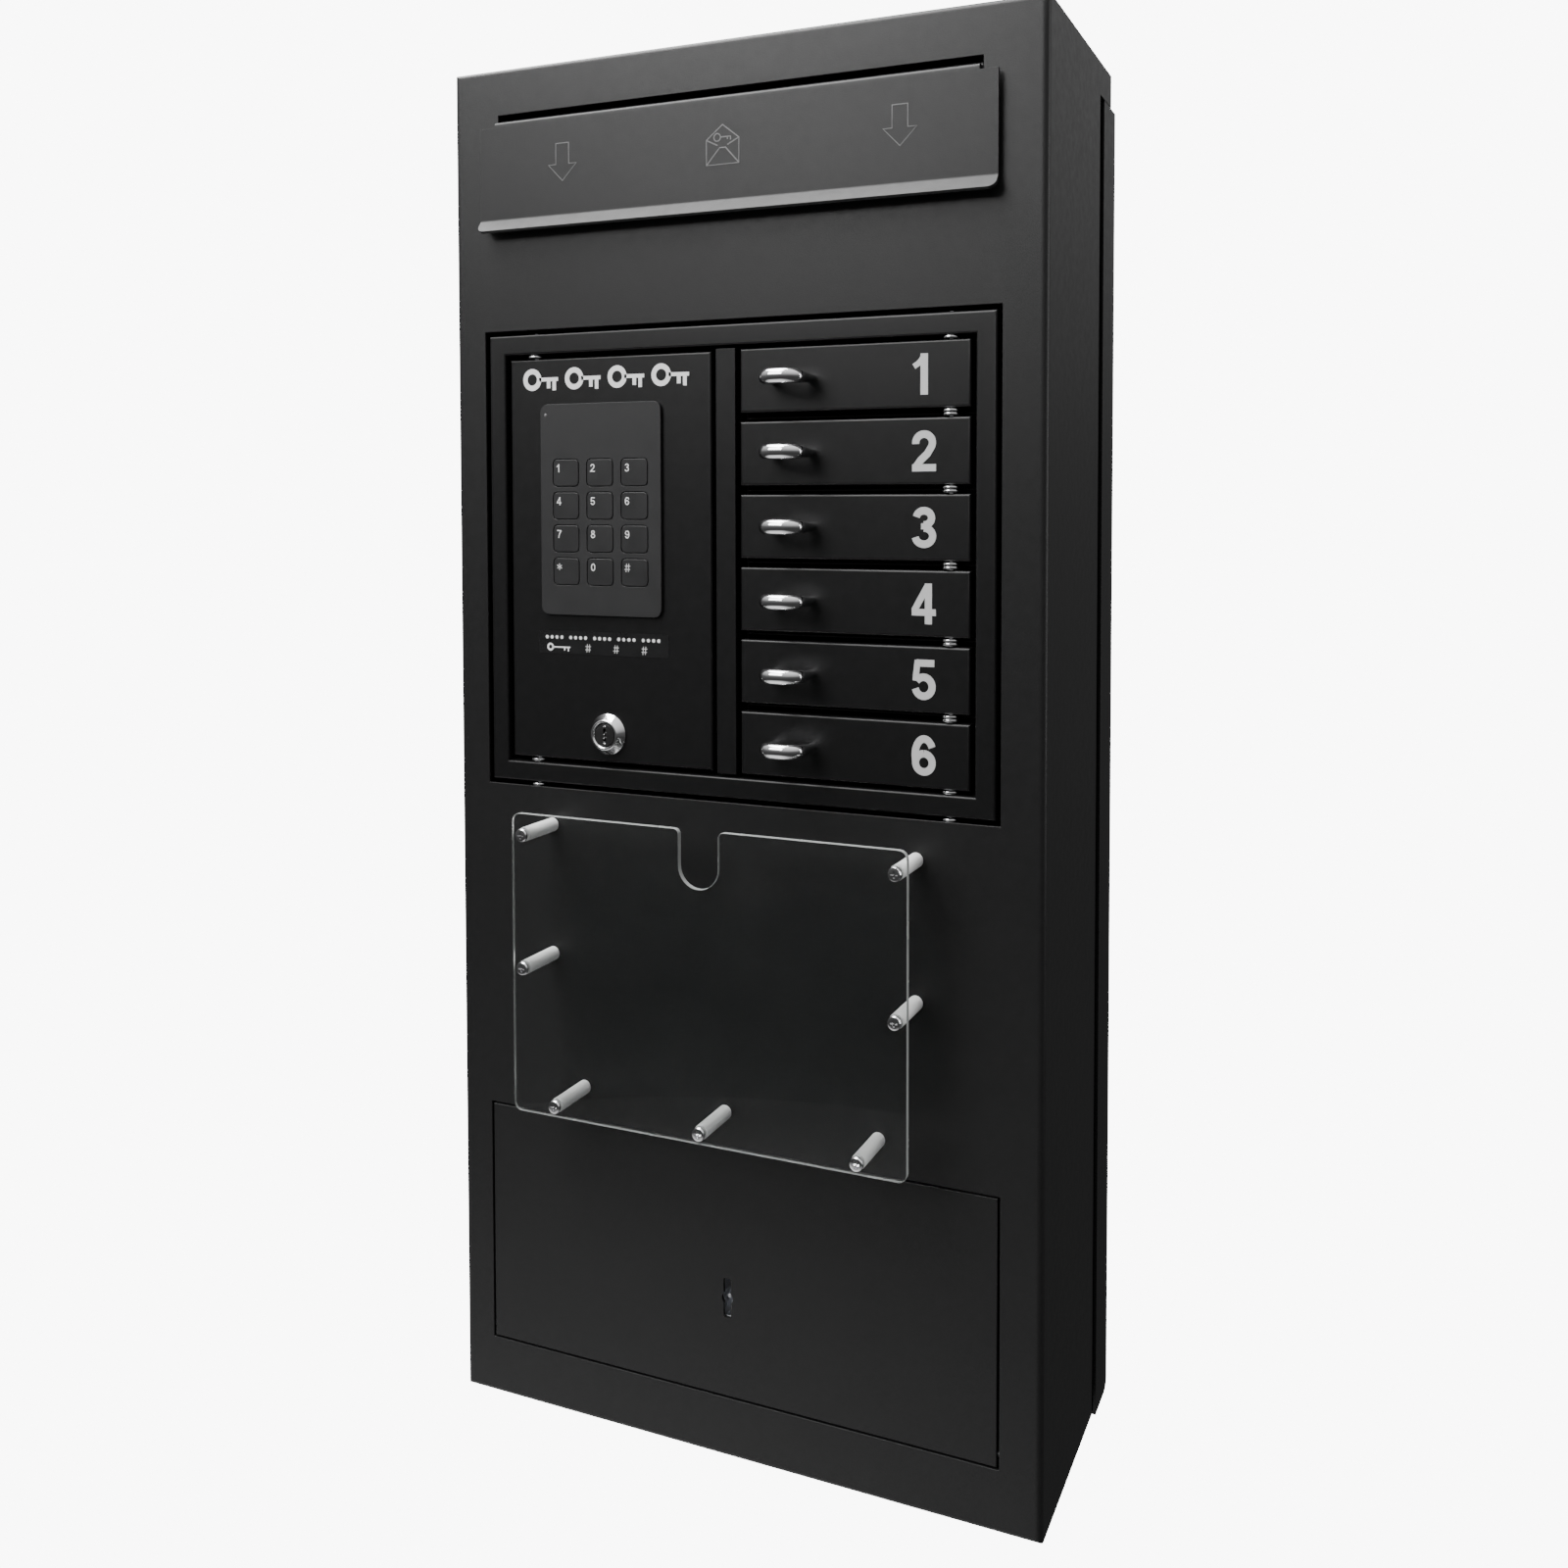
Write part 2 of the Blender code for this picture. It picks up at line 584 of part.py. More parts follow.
def wall_tray():
    """Shallow tray that is screwed to the wall and closes the back."""
    top = CABINET_HEIGHT - HOOD_ROOF_BAND - TOUCH_GAP
    low = (0.0, CABINET_DEPTH - TRAY_FLANGE, -TRAY_DROP)
    high = (CABINET_WIDTH, CABINET_DEPTH, top)

    def foot_edge(bm):
        return [edge for edge in rim_edges(bm, 1, high[1])
                if all(abs(vert.co.z - low[2]) < 1e-6 for vert in edge.verts)]

    tray = sheet_box("wall_tray", low, high, low[1], foot_edge, TRAY_FOOT_BEND, "black_coat")
    holes = bmesh.new()
    for x in (WALL_HOLE_INSET, CABINET_WIDTH - WALL_HOLE_INSET):
        for z in (WALL_HOLE_INSET, top - WALL_HOLE_INSET):
            add_cylinder(holes, (x, 0.0, z), WALL_HOLE_RADIUS, CABINET_DEPTH - CUT_DEPTH,
                         CABINET_DEPTH + PAST, "Y", 16)
    add_cylinder(holes, (WALL_HOLE_INSET * 2, 0.0, MODULE_TOP - CABLE_HOLE_DROP), CABLE_HOLE_RADIUS,
                 CABINET_DEPTH - CUT_DEPTH, CABINET_DEPTH + PAST, "Y", 24)
    combine(tray, holes, "DIFFERENCE")
    return tray


def liner():
    """Inner tube that carries the module and forms the deposit space."""
    low_z = SHEET - TRAY_DROP + TOUCH_GAP
    high_z = CABINET_HEIGHT - HOOD_ROOF_BAND - SHEET - 2 * TOUCH_GAP
    back = CABINET_DEPTH - LINER_BACK_GAP
    bm = bmesh.new()
    add_block(bm, (LINER_INSET, LINER_FRONT, low_z), (CABINET_WIDTH - LINER_INSET, back, high_z))
    tube = place("inner_liner", bm, "inner_black")
    cut_block(tube, (LINER_INSET + THIN_SHEET, LINER_FRONT - PAST, low_z + THIN_SHEET),
              (CABINET_WIDTH - LINER_INSET - THIN_SHEET, back + PAST, high_z - THIN_SHEET))
    return tube


# Key inlet

def inlet_flap():
    """Outer flap: neck through the inlet, face plate and a lip kicked out at the bottom."""
    barrel = FLAP_ROD_RADIUS + ROD_CLEARANCE + FLAP_BARREL_WALL
    front = -FLAP_STANDOFF - SHEET
    neck_z = FLAP_AXIS[2]
    foot_z = neck_z - FLAP_HEIGHT
    corners = [(FLAP_AXIS_DEPTH - barrel + FLAP_WELD_LAP, neck_z), (front, neck_z), (front, foot_z),
               (front - FLAP_LIP_OUT, foot_z - FLAP_LIP_DROP)]
    points = rounded_path([(y, z, 0.0) for y, z in corners], FLAP_BEND)
    profile = [(point.x, point.y) for point in points]
    half = INLET_WIDTH / 2 + FLAP_SHOULDER
    flap = folded_sheet("inlet_flap", profile, FACE_CENTRE - half, FACE_CENTRE + half, SHEET,
                        "black_coat", FLAP_AXIS, 1.0)
    neck_half = INLET_WIDTH / 2 - FLAP_SIDE_CLEARANCE
    shoulder_z = neck_z - FLAP_SHOULDER_DROP
    for side in (-1, 1):
        near, far = FACE_CENTRE + side * neck_half, FACE_CENTRE + side * (half + PAST)
        cut_block(flap, (min(near, far), front - PAST, shoulder_z),
                  (max(near, far), FLAP_AXIS_DEPTH + PAST, neck_z + PAST))
    tube = bmesh.new()
    add_cylinder(tube, FLAP_AXIS, barrel, FACE_CENTRE - neck_half, FACE_CENTRE + neck_half, "X", 16)
    combine(flap, tube, "UNION")
    cut_cylinder(flap, FLAP_AXIS, FLAP_ROD_RADIUS + ROD_CLEARANCE, FACE_CENTRE - half,
                 FACE_CENTRE + half, "X")
    lip_length = math.hypot(FLAP_LIP_OUT, FLAP_LIP_DROP)
    tip_z = foot_z - FLAP_LIP_DROP - SHEET * FLAP_LIP_OUT / lip_length
    for side in (-1, 1):
        round_lip_corner(flap, FACE_CENTRE + side * half, side, tip_z, front)
    return flap


def round_lip_corner(flap, edge_x, side, tip_z, front):
    """Cut a lower corner of the lip to a quarter round."""
    bm = bmesh.new()
    inner_x = edge_x - side * FLAP_CORNER
    past_lip = front - 2 * FLAP_LIP_OUT
    add_block(bm, (min(inner_x, edge_x + side * PAST), past_lip, tip_z - PAST),
              (max(inner_x, edge_x + side * PAST), 0.0, tip_z + FLAP_CORNER))
    mask = bmesh.new()
    add_cylinder(mask, (inner_x, 0.0, tip_z + FLAP_CORNER), FLAP_CORNER, past_lip - PAST, PAST,
                 "Y", 24)
    keep = tool_shape("lip_round_" + ("left" if side < 0 else "right"), mask)
    label = flap.name + "_corner" + str(len(flap.modifiers))
    cutter = tool_shape(label, bm)
    trim = cutter.modifiers.new("round", "BOOLEAN")
    trim.operation = "DIFFERENCE"
    trim.solver = "EXACT"
    trim.object = keep
    modifier = flap.modifiers.new(label, "BOOLEAN")
    modifier.operation = "DIFFERENCE"
    modifier.solver = "EXACT"
    modifier.object = cutter


def rod_along_x(name, x_low, x_high, depth, height, radius):
    bm = bmesh.new()
    add_cylinder(bm, (0.0, depth, height), radius, x_low, x_high, "X", 12)
    return place(name, bm, "zinc", smooth=40)


def drop_chute():
    """Sheet that leads an envelope from the inlet over the module to the back duct."""
    lip_z = INLET_TOP - INLET_HEIGHT - CHUTE_STEP
    front = SHEET + TOUCH_GAP
    end_y, end_z = MODULE_DEPTH + CHUTE_BEHIND_MODULE, MODULE_TOP + CHUTE_OVER_MODULE
    corners = [(front, lip_z - CHUTE_LIP), (front, lip_z), (end_y, end_z), (end_y, end_z - CHUTE_TAIL)]
    left = LINER_INSET + THIN_SHEET + GUIDE_SIDE_GAP
    return folded_sheet("drop_chute", list(reversed(corners)), left, CABINET_WIDTH - left,
                        THIN_SHEET, "inner_black")


def inlet_baffle():
    """Sheet that hangs from the roof and keeps hands out of the deposit space."""
    roof_z = CABINET_HEIGHT - SHEET - TOUCH_GAP
    corners = [(BAFFLE_DEPTH - BAFFLE_FLANGE, roof_z), (BAFFLE_DEPTH, roof_z),
               (BAFFLE_DEPTH, roof_z - BAFFLE_DROP),
               (BAFFLE_DEPTH + BAFFLE_SLOPE_OUT, roof_z - BAFFLE_DROP - BAFFLE_SLOPE_DROP)]
    left = LINER_INSET + THIN_SHEET + GUIDE_SIDE_GAP
    return folded_sheet("inlet_baffle", corners, left, CABINET_WIDTH - left, THIN_SHEET,
                        "inner_black")


# Key module

def module_case():
    """Steel box with a turned-in front flange that frames the doors."""
    bm = bmesh.new()
    add_block(bm, (MODULE_LEFT, 0.0, MODULE_BASE), (MODULE_RIGHT, MODULE_DEPTH, MODULE_TOP))
    bevel(bm, rim_edges(bm, 1, 0.0), MODULE_BEND, 2)
    case = place("module_case", bm, "black_coat")
    cut_block(case, (MODULE_LEFT + THIN_SHEET, THIN_SHEET, MODULE_BASE + THIN_SHEET),
              (MODULE_RIGHT - THIN_SHEET, MODULE_DEPTH - THIN_SHEET, MODULE_TOP - THIN_SHEET))
    join_block(case, (MOUTH_LEFT - THIN_SHEET, THIN_SHEET / 2, MOUTH_BASE - THIN_SHEET),
               (MOUTH_RIGHT + THIN_SHEET, MOUTH_RETURN, MOUTH_TOP + THIN_SHEET))
    cut_block(case, (MOUTH_LEFT, -PAST, MOUTH_BASE), (MOUTH_RIGHT, MOUTH_RETURN + PAST, MOUTH_TOP))
    holes = bmesh.new()
    for x in (CONTROL_HINGE_X, DOOR_HINGE_X):
        add_cylinder(holes, (x, HINGE_DEPTH, 0.0), HINGE_ROD_RADIUS + ROD_CLEARANCE,
                     MODULE_BASE - PAST, MODULE_TOP + PAST, "Z", 12)
    combine(case, holes, "DIFFERENCE")
    return case


def door_middle(number):
    """Height of the middle of a small door, counted from the top."""
    return MOUTH_TOP - DOOR_END_GAP - DOOR_HEIGHT / 2 - (number - 1) * DOOR_PITCH


def compartment_rack():
    """Post between the doors, wall of the lock bay and the shelves, welded together."""
    low_z = MODULE_BASE + THIN_SHEET + RACK_END_GAP
    high_z = MODULE_TOP - THIN_SHEET - RACK_END_GAP
    bm = bmesh.new()
    web_front = MOUTH_RETURN + TOUCH_GAP
    add_block(bm, (POST_LEFT, web_front, low_z), (POST_LEFT + THIN_SHEET, RACK_BACK, high_z))
    rack = place("compartment_rack", bm, "black_coat")
    post_low, post_high = MOUTH_BASE + POST_END_GAP, MOUTH_TOP - POST_END_GAP
    join_block(rack, (POST_LEFT, DOOR_SET_BACK, post_low),
               (POST_LEFT + THIN_SHEET, web_front + POST_RETURN, post_high))
    join_block(rack, (POST_LEFT, DOOR_SET_BACK, post_low),
               (POST_RIGHT, DOOR_SET_BACK + THIN_SHEET, post_high))
    join_block(rack, (POST_RIGHT - THIN_SHEET, DOOR_SET_BACK, post_low),
               (POST_RIGHT, DOOR_SET_BACK + POST_RETURN, post_high))
    join_block(rack, (POST_LEFT, RACK_BACK - THIN_SHEET, low_z),
               (RACK_WALL + SHELF_SHEET, RACK_BACK, high_z))
    join_block(rack, (RACK_WALL, RACK_FRONT, low_z),
               (RACK_WALL + SHELF_SHEET, RACK_BACK, high_z))
    shelves = bmesh.new()
    for number in range(1, DOOR_COUNT):
        z = (door_middle(number) + door_middle(number + 1)) / 2
        add_block(shelves, (RACK_WALL + SHELF_SHEET / 2, RACK_FRONT, z - SHELF_SHEET / 2),
                  (MODULE_RIGHT - THIN_SHEET - RACK_END_GAP, RACK_BACK, z + SHELF_SHEET / 2))
    combine(rack, shelves, "UNION")
    windows = bmesh.new()
    for number in range(1, DOOR_COUNT + 1):
        z = door_middle(number)
        y = LATCH_FRONT + LATCH_DEPTH / 2
        add_block(windows, (RACK_WALL - PAST / 2, y - LATCH_WINDOW / 2, z - LATCH_WINDOW / 2),
                  (RACK_WALL + SHELF_SHEET + PAST / 4, y + LATCH_WINDOW / 2, z + LATCH_WINDOW / 2))
    combine(rack, windows, "DIFFERENCE")
    return rack


def latch_rail():
    """Rail with one electric latch for each small door, between post web and wall."""
    left = POST_LEFT + THIN_SHEET + TOUCH_GAP
    right = RACK_WALL - TOUCH_GAP
    low_z = door_middle(DOOR_COUNT) - LATCH_HEIGHT / 2 - RAIL_END
    high_z = door_middle(1) + LATCH_HEIGHT / 2 + RAIL_END
    bm = bmesh.new()
    add_block(bm, (left, LATCH_FRONT + RAIL_SET_BACK, low_z),
              (left + RAIL_THICKNESS, LATCH_FRONT + LATCH_DEPTH + RAIL_BEHIND, high_z))
    rail = place("latch_rail", bm, "zinc")
    latches = bmesh.new()
    noses = bmesh.new()
    for number in range(1, DOOR_COUNT + 1):
        z = door_middle(number)
        y = LATCH_FRONT + LATCH_DEPTH / 2
        add_block(latches, (left + RAIL_THICKNESS / 2, LATCH_FRONT, z - LATCH_HEIGHT / 2),
                  (right, LATCH_FRONT + LATCH_DEPTH, z + LATCH_HEIGHT / 2))
        add_block(noses, (right - SHELF_SHEET, y - LATCH_NOSE / 2, z - LATCH_NOSE / 2),
                  (RACK_WALL + SHELF_SHEET - NOSE_RECESS, y + LATCH_NOSE / 2, z + LATCH_NOSE / 2))
    combine(rail, latches, "UNION")
    combine(rail, noses, "UNION")
    return rail


def hinge_rod(name, x, gaps):
    """Upright rod with a spacing collar in each gap, turned in one piece."""
    low = MODULE_BASE - HINGE_ROD_PROUD
    high = MODULE_TOP + HINGE_ROD_PROUD / 3
    profile = [(0.0, high), (HINGE_ROD_RADIUS, high)]
    for z in sorted(gaps, reverse=True):
        top, foot = z + HINGE_COLLAR_HEIGHT / 2, z - HINGE_COLLAR_HEIGHT / 2
        profile.append((HINGE_ROD_RADIUS, top))
        profile.append((HINGE_COLLAR_RADIUS, top))
        profile.append((HINGE_COLLAR_RADIUS, foot))
        profile.append((HINGE_ROD_RADIUS, foot))
    profile.append((HINGE_ROD_RADIUS, low))
    profile.append((0.0, low))
    return turned(name, profile, "chrome", (x, HINGE_DEPTH, 0.0), "Z", 12)


def small_door(number):
    """One folded compartment door with its strike tab."""
    middle = door_middle(number)
    low = (DOOR_LEFT, DOOR_SET_BACK, middle - DOOR_HEIGHT / 2)
    high = (DOOR_RIGHT, DOOR_SET_BACK + DOOR_RETURN, middle + DOOR_HEIGHT / 2)
    pivot = (DOOR_HINGE_X, HINGE_DEPTH, middle)
    door = pan("door_" + str(number), low, high, THIN_SHEET, DOOR_BEND, "black_coat", pivot)
    join_block(door, (DOOR_LEFT, high[1] - SHELF_SHEET, middle - STRIKE_HEIGHT / 2),
               (DOOR_LEFT + THIN_SHEET, high[1] + STRIKE_REACH, middle + STRIKE_HEIGHT / 2))
    cut_cylinder(door, (DOOR_HINGE_X, HINGE_DEPTH, 0.0), HINGE_ROD_RADIUS + ROD_CLEARANCE,
                 low[2] - PAST, high[2] + PAST, "Z", 12)
    return door


def bow_handle(number):
    """Chrome bow, slim at its feet and full at its grip, fixed to its door from inside."""
    x = DOOR_LEFT + HANDLE_INSET
    z = door_middle(number)
    foot_y = DOOR_SET_BACK - TOUCH_GAP
    reach_y = DOOR_SET_BACK - HANDLE_REACH
    corners = [(x - HANDLE_SPAN / 2, foot_y, z), (x - HANDLE_SPAN / 2, reach_y, z),
               (x + HANDLE_SPAN / 2, reach_y, z), (x + HANDLE_SPAN / 2, foot_y, z)]
    curve = bpy.data.curves.new("door_handle_" + str(number), "CURVE")
    curve.dimensions = "3D"
    curve.bevel_depth = HANDLE_GRIP
    curve.bevel_resolution = 2
    curve.use_fill_caps = True
    path = rounded_path(corners, HANDLE_CORNER, 5)
    spline = curve.splines.new("POLY")
    spline.points.add(len(path) - 1)
    for index, (point, place_at) in enumerate(zip(spline.points, path)):
        point.co = (*place_at, 1.0)
        swell = math.sin(math.pi * index / (len(path) - 1))
        point.radius = (HANDLE_FOOT + (HANDLE_GRIP - HANDLE_FOOT) * swell) / HANDLE_GRIP
    handle = bpy.data.objects.new("door_handle_" + str(number), curve)
    curve.materials.append(finish_material(handle.name, "chrome"))
    handle.parent = DATUM
    PARTS.objects.link(handle)
    return handle


# Control door

def control_door():
    low = (CONTROL_LEFT, DOOR_SET_BACK, CONTROL_BASE)
    high = (CONTROL_RIGHT, DOOR_SET_BACK + DOOR_RETURN, CONTROL_TOP)
    pivot = (CONTROL_HINGE_X, HINGE_DEPTH, (CONTROL_BASE + CONTROL_TOP) / 2)
    door = pan("control_door", low, high, THIN_SHEET, DOOR_BEND, "black_coat", pivot)
    cut_cylinder(door, (CONTROL_HINGE_X, HINGE_DEPTH, 0.0), HINGE_ROD_RADIUS + ROD_CLEARANCE,
                 low[2] - PAST, high[2] + PAST, "Z", 12)
    cut_cylinder(door, (LOCK_X, 0.0, LOCK_Z), LOCK_BODY_RADIUS + LOCK_THREAD_CLEARANCE,
                 -PAST, DOOR_SET_BACK + THIN_SHEET + PAST / 2, "Y", 24)
    return door


def key_places():
    """Name and left lower corner of each key, row by row."""
    left = CONTROL_LEFT + KEYPAD_FROM_LEFT
    top = CONTROL_TOP - KEYPAD_FROM_TOP
    margin = (KEYPAD_WIDTH - 2 * KEY_PITCH_X - KEY_WIDTH) / 2
    for index, name in enumerate(KEY_NAMES):
        row, column = divmod(index, 3)
        x = left + margin + column * KEY_PITCH_X
        z = top - KEY_FROM_TOP - KEY_HEIGHT - row * KEY_PITCH_Z
        yield "key_" + name, x, z


def keypad_body():
    left = CONTROL_LEFT + KEYPAD_FROM_LEFT
    top = CONTROL_TOP - KEYPAD_FROM_TOP
    back = DOOR_SET_BACK - TOUCH_GAP
    bm = bmesh.new()
    rounded_block(bm, (left, back - KEYPAD_THICKNESS, top - KEYPAD_HEIGHT),
                  (left + KEYPAD_WIDTH, back, top), KEYPAD_CORNER)
    body = place("keypad_body", bm, "keypad_grey")
    windows = bmesh.new()
    for name, x, z in key_places():
        rounded_block(windows, (x - KEY_CLEARANCE, back - KEYPAD_THICKNESS - PAST, z - KEY_CLEARANCE),
                      (x + KEY_WIDTH + KEY_CLEARANCE, back + PAST, z + KEY_HEIGHT + KEY_CLEARANCE),
                      KEY_CORNER + KEY_CLEARANCE, 2)
    combine(body, windows, "DIFFERENCE")
    return body


def keypad_keys():
    front = DOOR_SET_BACK - TOUCH_GAP - KEYPAD_THICKNESS - KEY_PROUD
    keys = []
    for name, x, z in key_places():
        bm = bmesh.new()
        rounded_block(bm, (x, front, z), (x + KEY_WIDTH, front + KEY_THICKNESS, z + KEY_HEIGHT),
                      KEY_CORNER, 2)
        middle = (x + KEY_WIDTH / 2, front, z + KEY_HEIGHT / 2)
        keys.append(place(name, bm, "keypad_grey", middle))
    return keys


def cam_lock():
    """Bezel and body, nut, turning plug and its cam."""
    face = DOOR_SET_BACK
    tip = face - TOUCH_GAP - LOCK_BEZEL_PROUD
    centre = (LOCK_X, 0.0, LOCK_Z)
    bore = LOCK_PLUG_RADIUS + LOCK_PLUG_CLEARANCE
    profile = [(bore, -tip), (LOCK_FACE_RADIUS, -tip), (LOCK_BEZEL_RADIUS, TOUCH_GAP + LOCK_BEZEL_RIM - face),
               (LOCK_BEZEL_RADIUS, TOUCH_GAP - face), (LOCK_BODY_RADIUS, TOUCH_GAP - face),
               (LOCK_BODY_RADIUS, -LOCK_BODY_END), (bore, -LOCK_BODY_END), (bore, -tip)]
    turned("cam_lock_body", profile, "chrome", centre, "Y", 24)
    nut_front = face + THIN_SHEET + TOUCH_GAP
    nut = bmesh.new()
    add_cylinder(nut, centre, LOCK_BODY_RADIUS + LOCK_NUT_WALL, nut_front, nut_front + LOCK_NUT_THICKNESS, "Y", 6)
    nut = place("cam_lock_nut", nut, "zinc")
    cut_cylinder(nut, centre, LOCK_BODY_RADIUS + LOCK_THREAD_CLEARANCE, 0.0,
                 nut_front + LOCK_NUT_THICKNESS + PAST, "Y", 24)
    plug_back = LOCK_BODY_END + TOUCH_GAP
    plug = bmesh.new()
    add_cylinder(plug, centre, LOCK_PLUG_RADIUS, tip + LOCK_PLUG_RECESS, plug_back, "Y", 20)
    plug = place("cam_lock_plug", plug, "chrome", (LOCK_X, tip, LOCK_Z))
    cut_block(plug, (LOCK_X - KEYWAY_WIDTH / 2, tip - PAST, LOCK_Z - KEYWAY_HEIGHT / 2),
              (LOCK_X + KEYWAY_WIDTH / 2, tip + KEYWAY_DEPTH, LOCK_Z + KEYWAY_HEIGHT / 2))
    cam = bmesh.new()
    cam_front = plug_back + TOUCH_GAP
    rounded_block(cam, (LOCK_X - CAM_WIDTH / 2, cam_front, LOCK_Z - CAM_WIDTH / 2),
                  (LOCK_X + CAM_LENGTH, cam_front + CAM_THICKNESS, LOCK_Z + CAM_WIDTH / 2), CAM_CORNER)
    place("cam_lock_cam", cam, "zinc", (LOCK_X, cam_front, LOCK_Z))


def electronics():
    """Controller and battery pack on the back wall of the control bay."""
    back = MODULE_DEPTH - THIN_SHEET - TOUCH_GAP
    left = MODULE_LEFT + BAY_INSET
    for name, width, height, depth, lift in (
            ("controller_unit", CONTROLLER_WIDTH, CONTROLLER_HEIGHT, CONTROLLER_DEPTH, CONTROLLER_LIFT),
            ("battery_pack", BATTERY_WIDTH, BATTERY_HEIGHT, BATTERY_DEPTH, BATTERY_LIFT)):
        base = MODULE_BASE + lift
        bm = bmesh.new()
        add_block(bm, (left, back - depth, base), (left + width, back, base + height))
        bevel(bm, rim_edges(bm, 1, back - depth), UNIT_EDGE, 1)
        place(name, bm, "dark_plastic")


# Document holder

def info_plate():
    """Clear plate with a thumb notch and seven screw holes."""
    front = PLATE_BACK - PLATE_THICKNESS
    bm = bmesh.new()
    rounded_block(bm, (PLATE_LEFT, front, PLATE_BASE),
                  (PLATE_LEFT + PLATE_WIDTH, PLATE_BACK, PLATE_TOP), PLATE_CORNER, 4)
    plate = place("info_plate", bm, "clear_acrylic")
    notch = bmesh.new()
    radius = NOTCH_WIDTH / 2
    round_z = PLATE_TOP - NOTCH_DEPTH + radius
    rounded_block(notch, (FACE_CENTRE - radius, front - PAST, PLATE_TOP - NOTCH_DEPTH),
                  (FACE_CENTRE + radius, PLATE_BACK + PAST, round_z + 2 * radius + NOTCH_DEPTH),
                  radius * 0.998, 8)
    combine(plate, notch, "DIFFERENCE")
    holes = bmesh.new()
    for x, z in STANDOFF_PLACES:
        add_cylinder(holes, (FACE_CENTRE + x, 0.0, PLATE_BASE + z), STANDOFF_BORE,
                     front - PAST, PLATE_BACK + PAST, "Y", 12)
    combine(plate, holes, "DIFFERENCE")
    return plate


def standoffs():
    for index, (x, z) in enumerate(STANDOFF_PLACES, 1):
        centre = (FACE_CENTRE + x, 0.0, PLATE_BASE + z)
        profile = [(STANDOFF_BORE, STANDOFF_LENGTH + TOUCH_GAP),
                   (STANDOFF_RADIUS - STANDOFF_CHAMFER, STANDOFF_LENGTH + TOUCH_GAP),
                   (STANDOFF_RADIUS, STANDOFF_LENGTH + TOUCH_GAP - STANDOFF_CHAMFER),
                   (STANDOFF_RADIUS, TOUCH_GAP + STANDOFF_CHAMFER),
                   (STANDOFF_RADIUS - STANDOFF_CHAMFER, TOUCH_GAP),
                   (STANDOFF_BORE, TOUCH_GAP), (STANDOFF_BORE, STANDOFF_LENGTH + TOUCH_GAP)]
        turned("standoff_" + str(index), profile, "white_nylon", centre, "Y", 16)


# Lower door

def lower_door():
    """Drop-down door of the deposit space, hinged along its lower edge."""
    pivot = (FACE_CENTRE, LOWER_AXIS_DEPTH, LOWER_AXIS_Z)
    low = (LOWER_LEFT, 0.0, LOWER_DOOR_BASE)
    high = (LOWER_RIGHT, LOWER_RETURN, LOWER_TOP)
    door = pan("lower_door", low, high, SHEET, LOWER_BEND, "black_coat", pivot)
    knuckle = bmesh.new()
    behind, above = LOWER_KNUCKLE_SHIFT
    for start in (LOWER_LEFT + SHEET / 2, LOWER_RIGHT - SHEET / 2 - LOWER_KNUCKLE_LENGTH):
        add_cylinder(knuckle, (0.0, LOWER_AXIS_DEPTH + behind, LOWER_AXIS_Z + above), LOWER_KNUCKLE,
                     start, start + LOWER_KNUCKLE_LENGTH, "X", 16)
    combine(door, knuckle, "UNION")
    cut_cylinder(door, pivot, LOWER_ROD_RADIUS + ROD_CLEARANCE, LOWER_LEFT - PAST,
                 LOWER_RIGHT + PAST, "X")
    hole = bmesh.new()
    rounded_block(hole, (FACE_CENTRE - KEYHOLE_WIDTH / 2, -PAST, KEYHOLE_Z - KEYHOLE_HEIGHT / 2),
                  (FACE_CENTRE + KEYHOLE_WIDTH / 2, CUT_DEPTH, KEYHOLE_Z + KEYHOLE_HEIGHT / 2),
                  KEYHOLE_CORNER, 2)
    combine(door, hole, "DIFFERENCE")
    cut_cylinder(door, (FACE_CENTRE, 0.0, KEYHOLE_Z), KEYHOLE_EYE_RADIUS, -PAST, CUT_DEPTH, "Y", 20)
    bolt_y = SHEET + BOLT_DEPTH_OFFSET
    cut_block(door, (FACE_CENTRE - BOLT_WIDTH / 2 - BOLT_CLEARANCE, bolt_y - BOLT_CLEARANCE,
                     LOWER_TOP - SHEET - PAST),
              (FACE_CENTRE + BOLT_WIDTH / 2 + BOLT_CLEARANCE, LOWER_RETURN + PAST, LOWER_TOP + PAST))
    return door


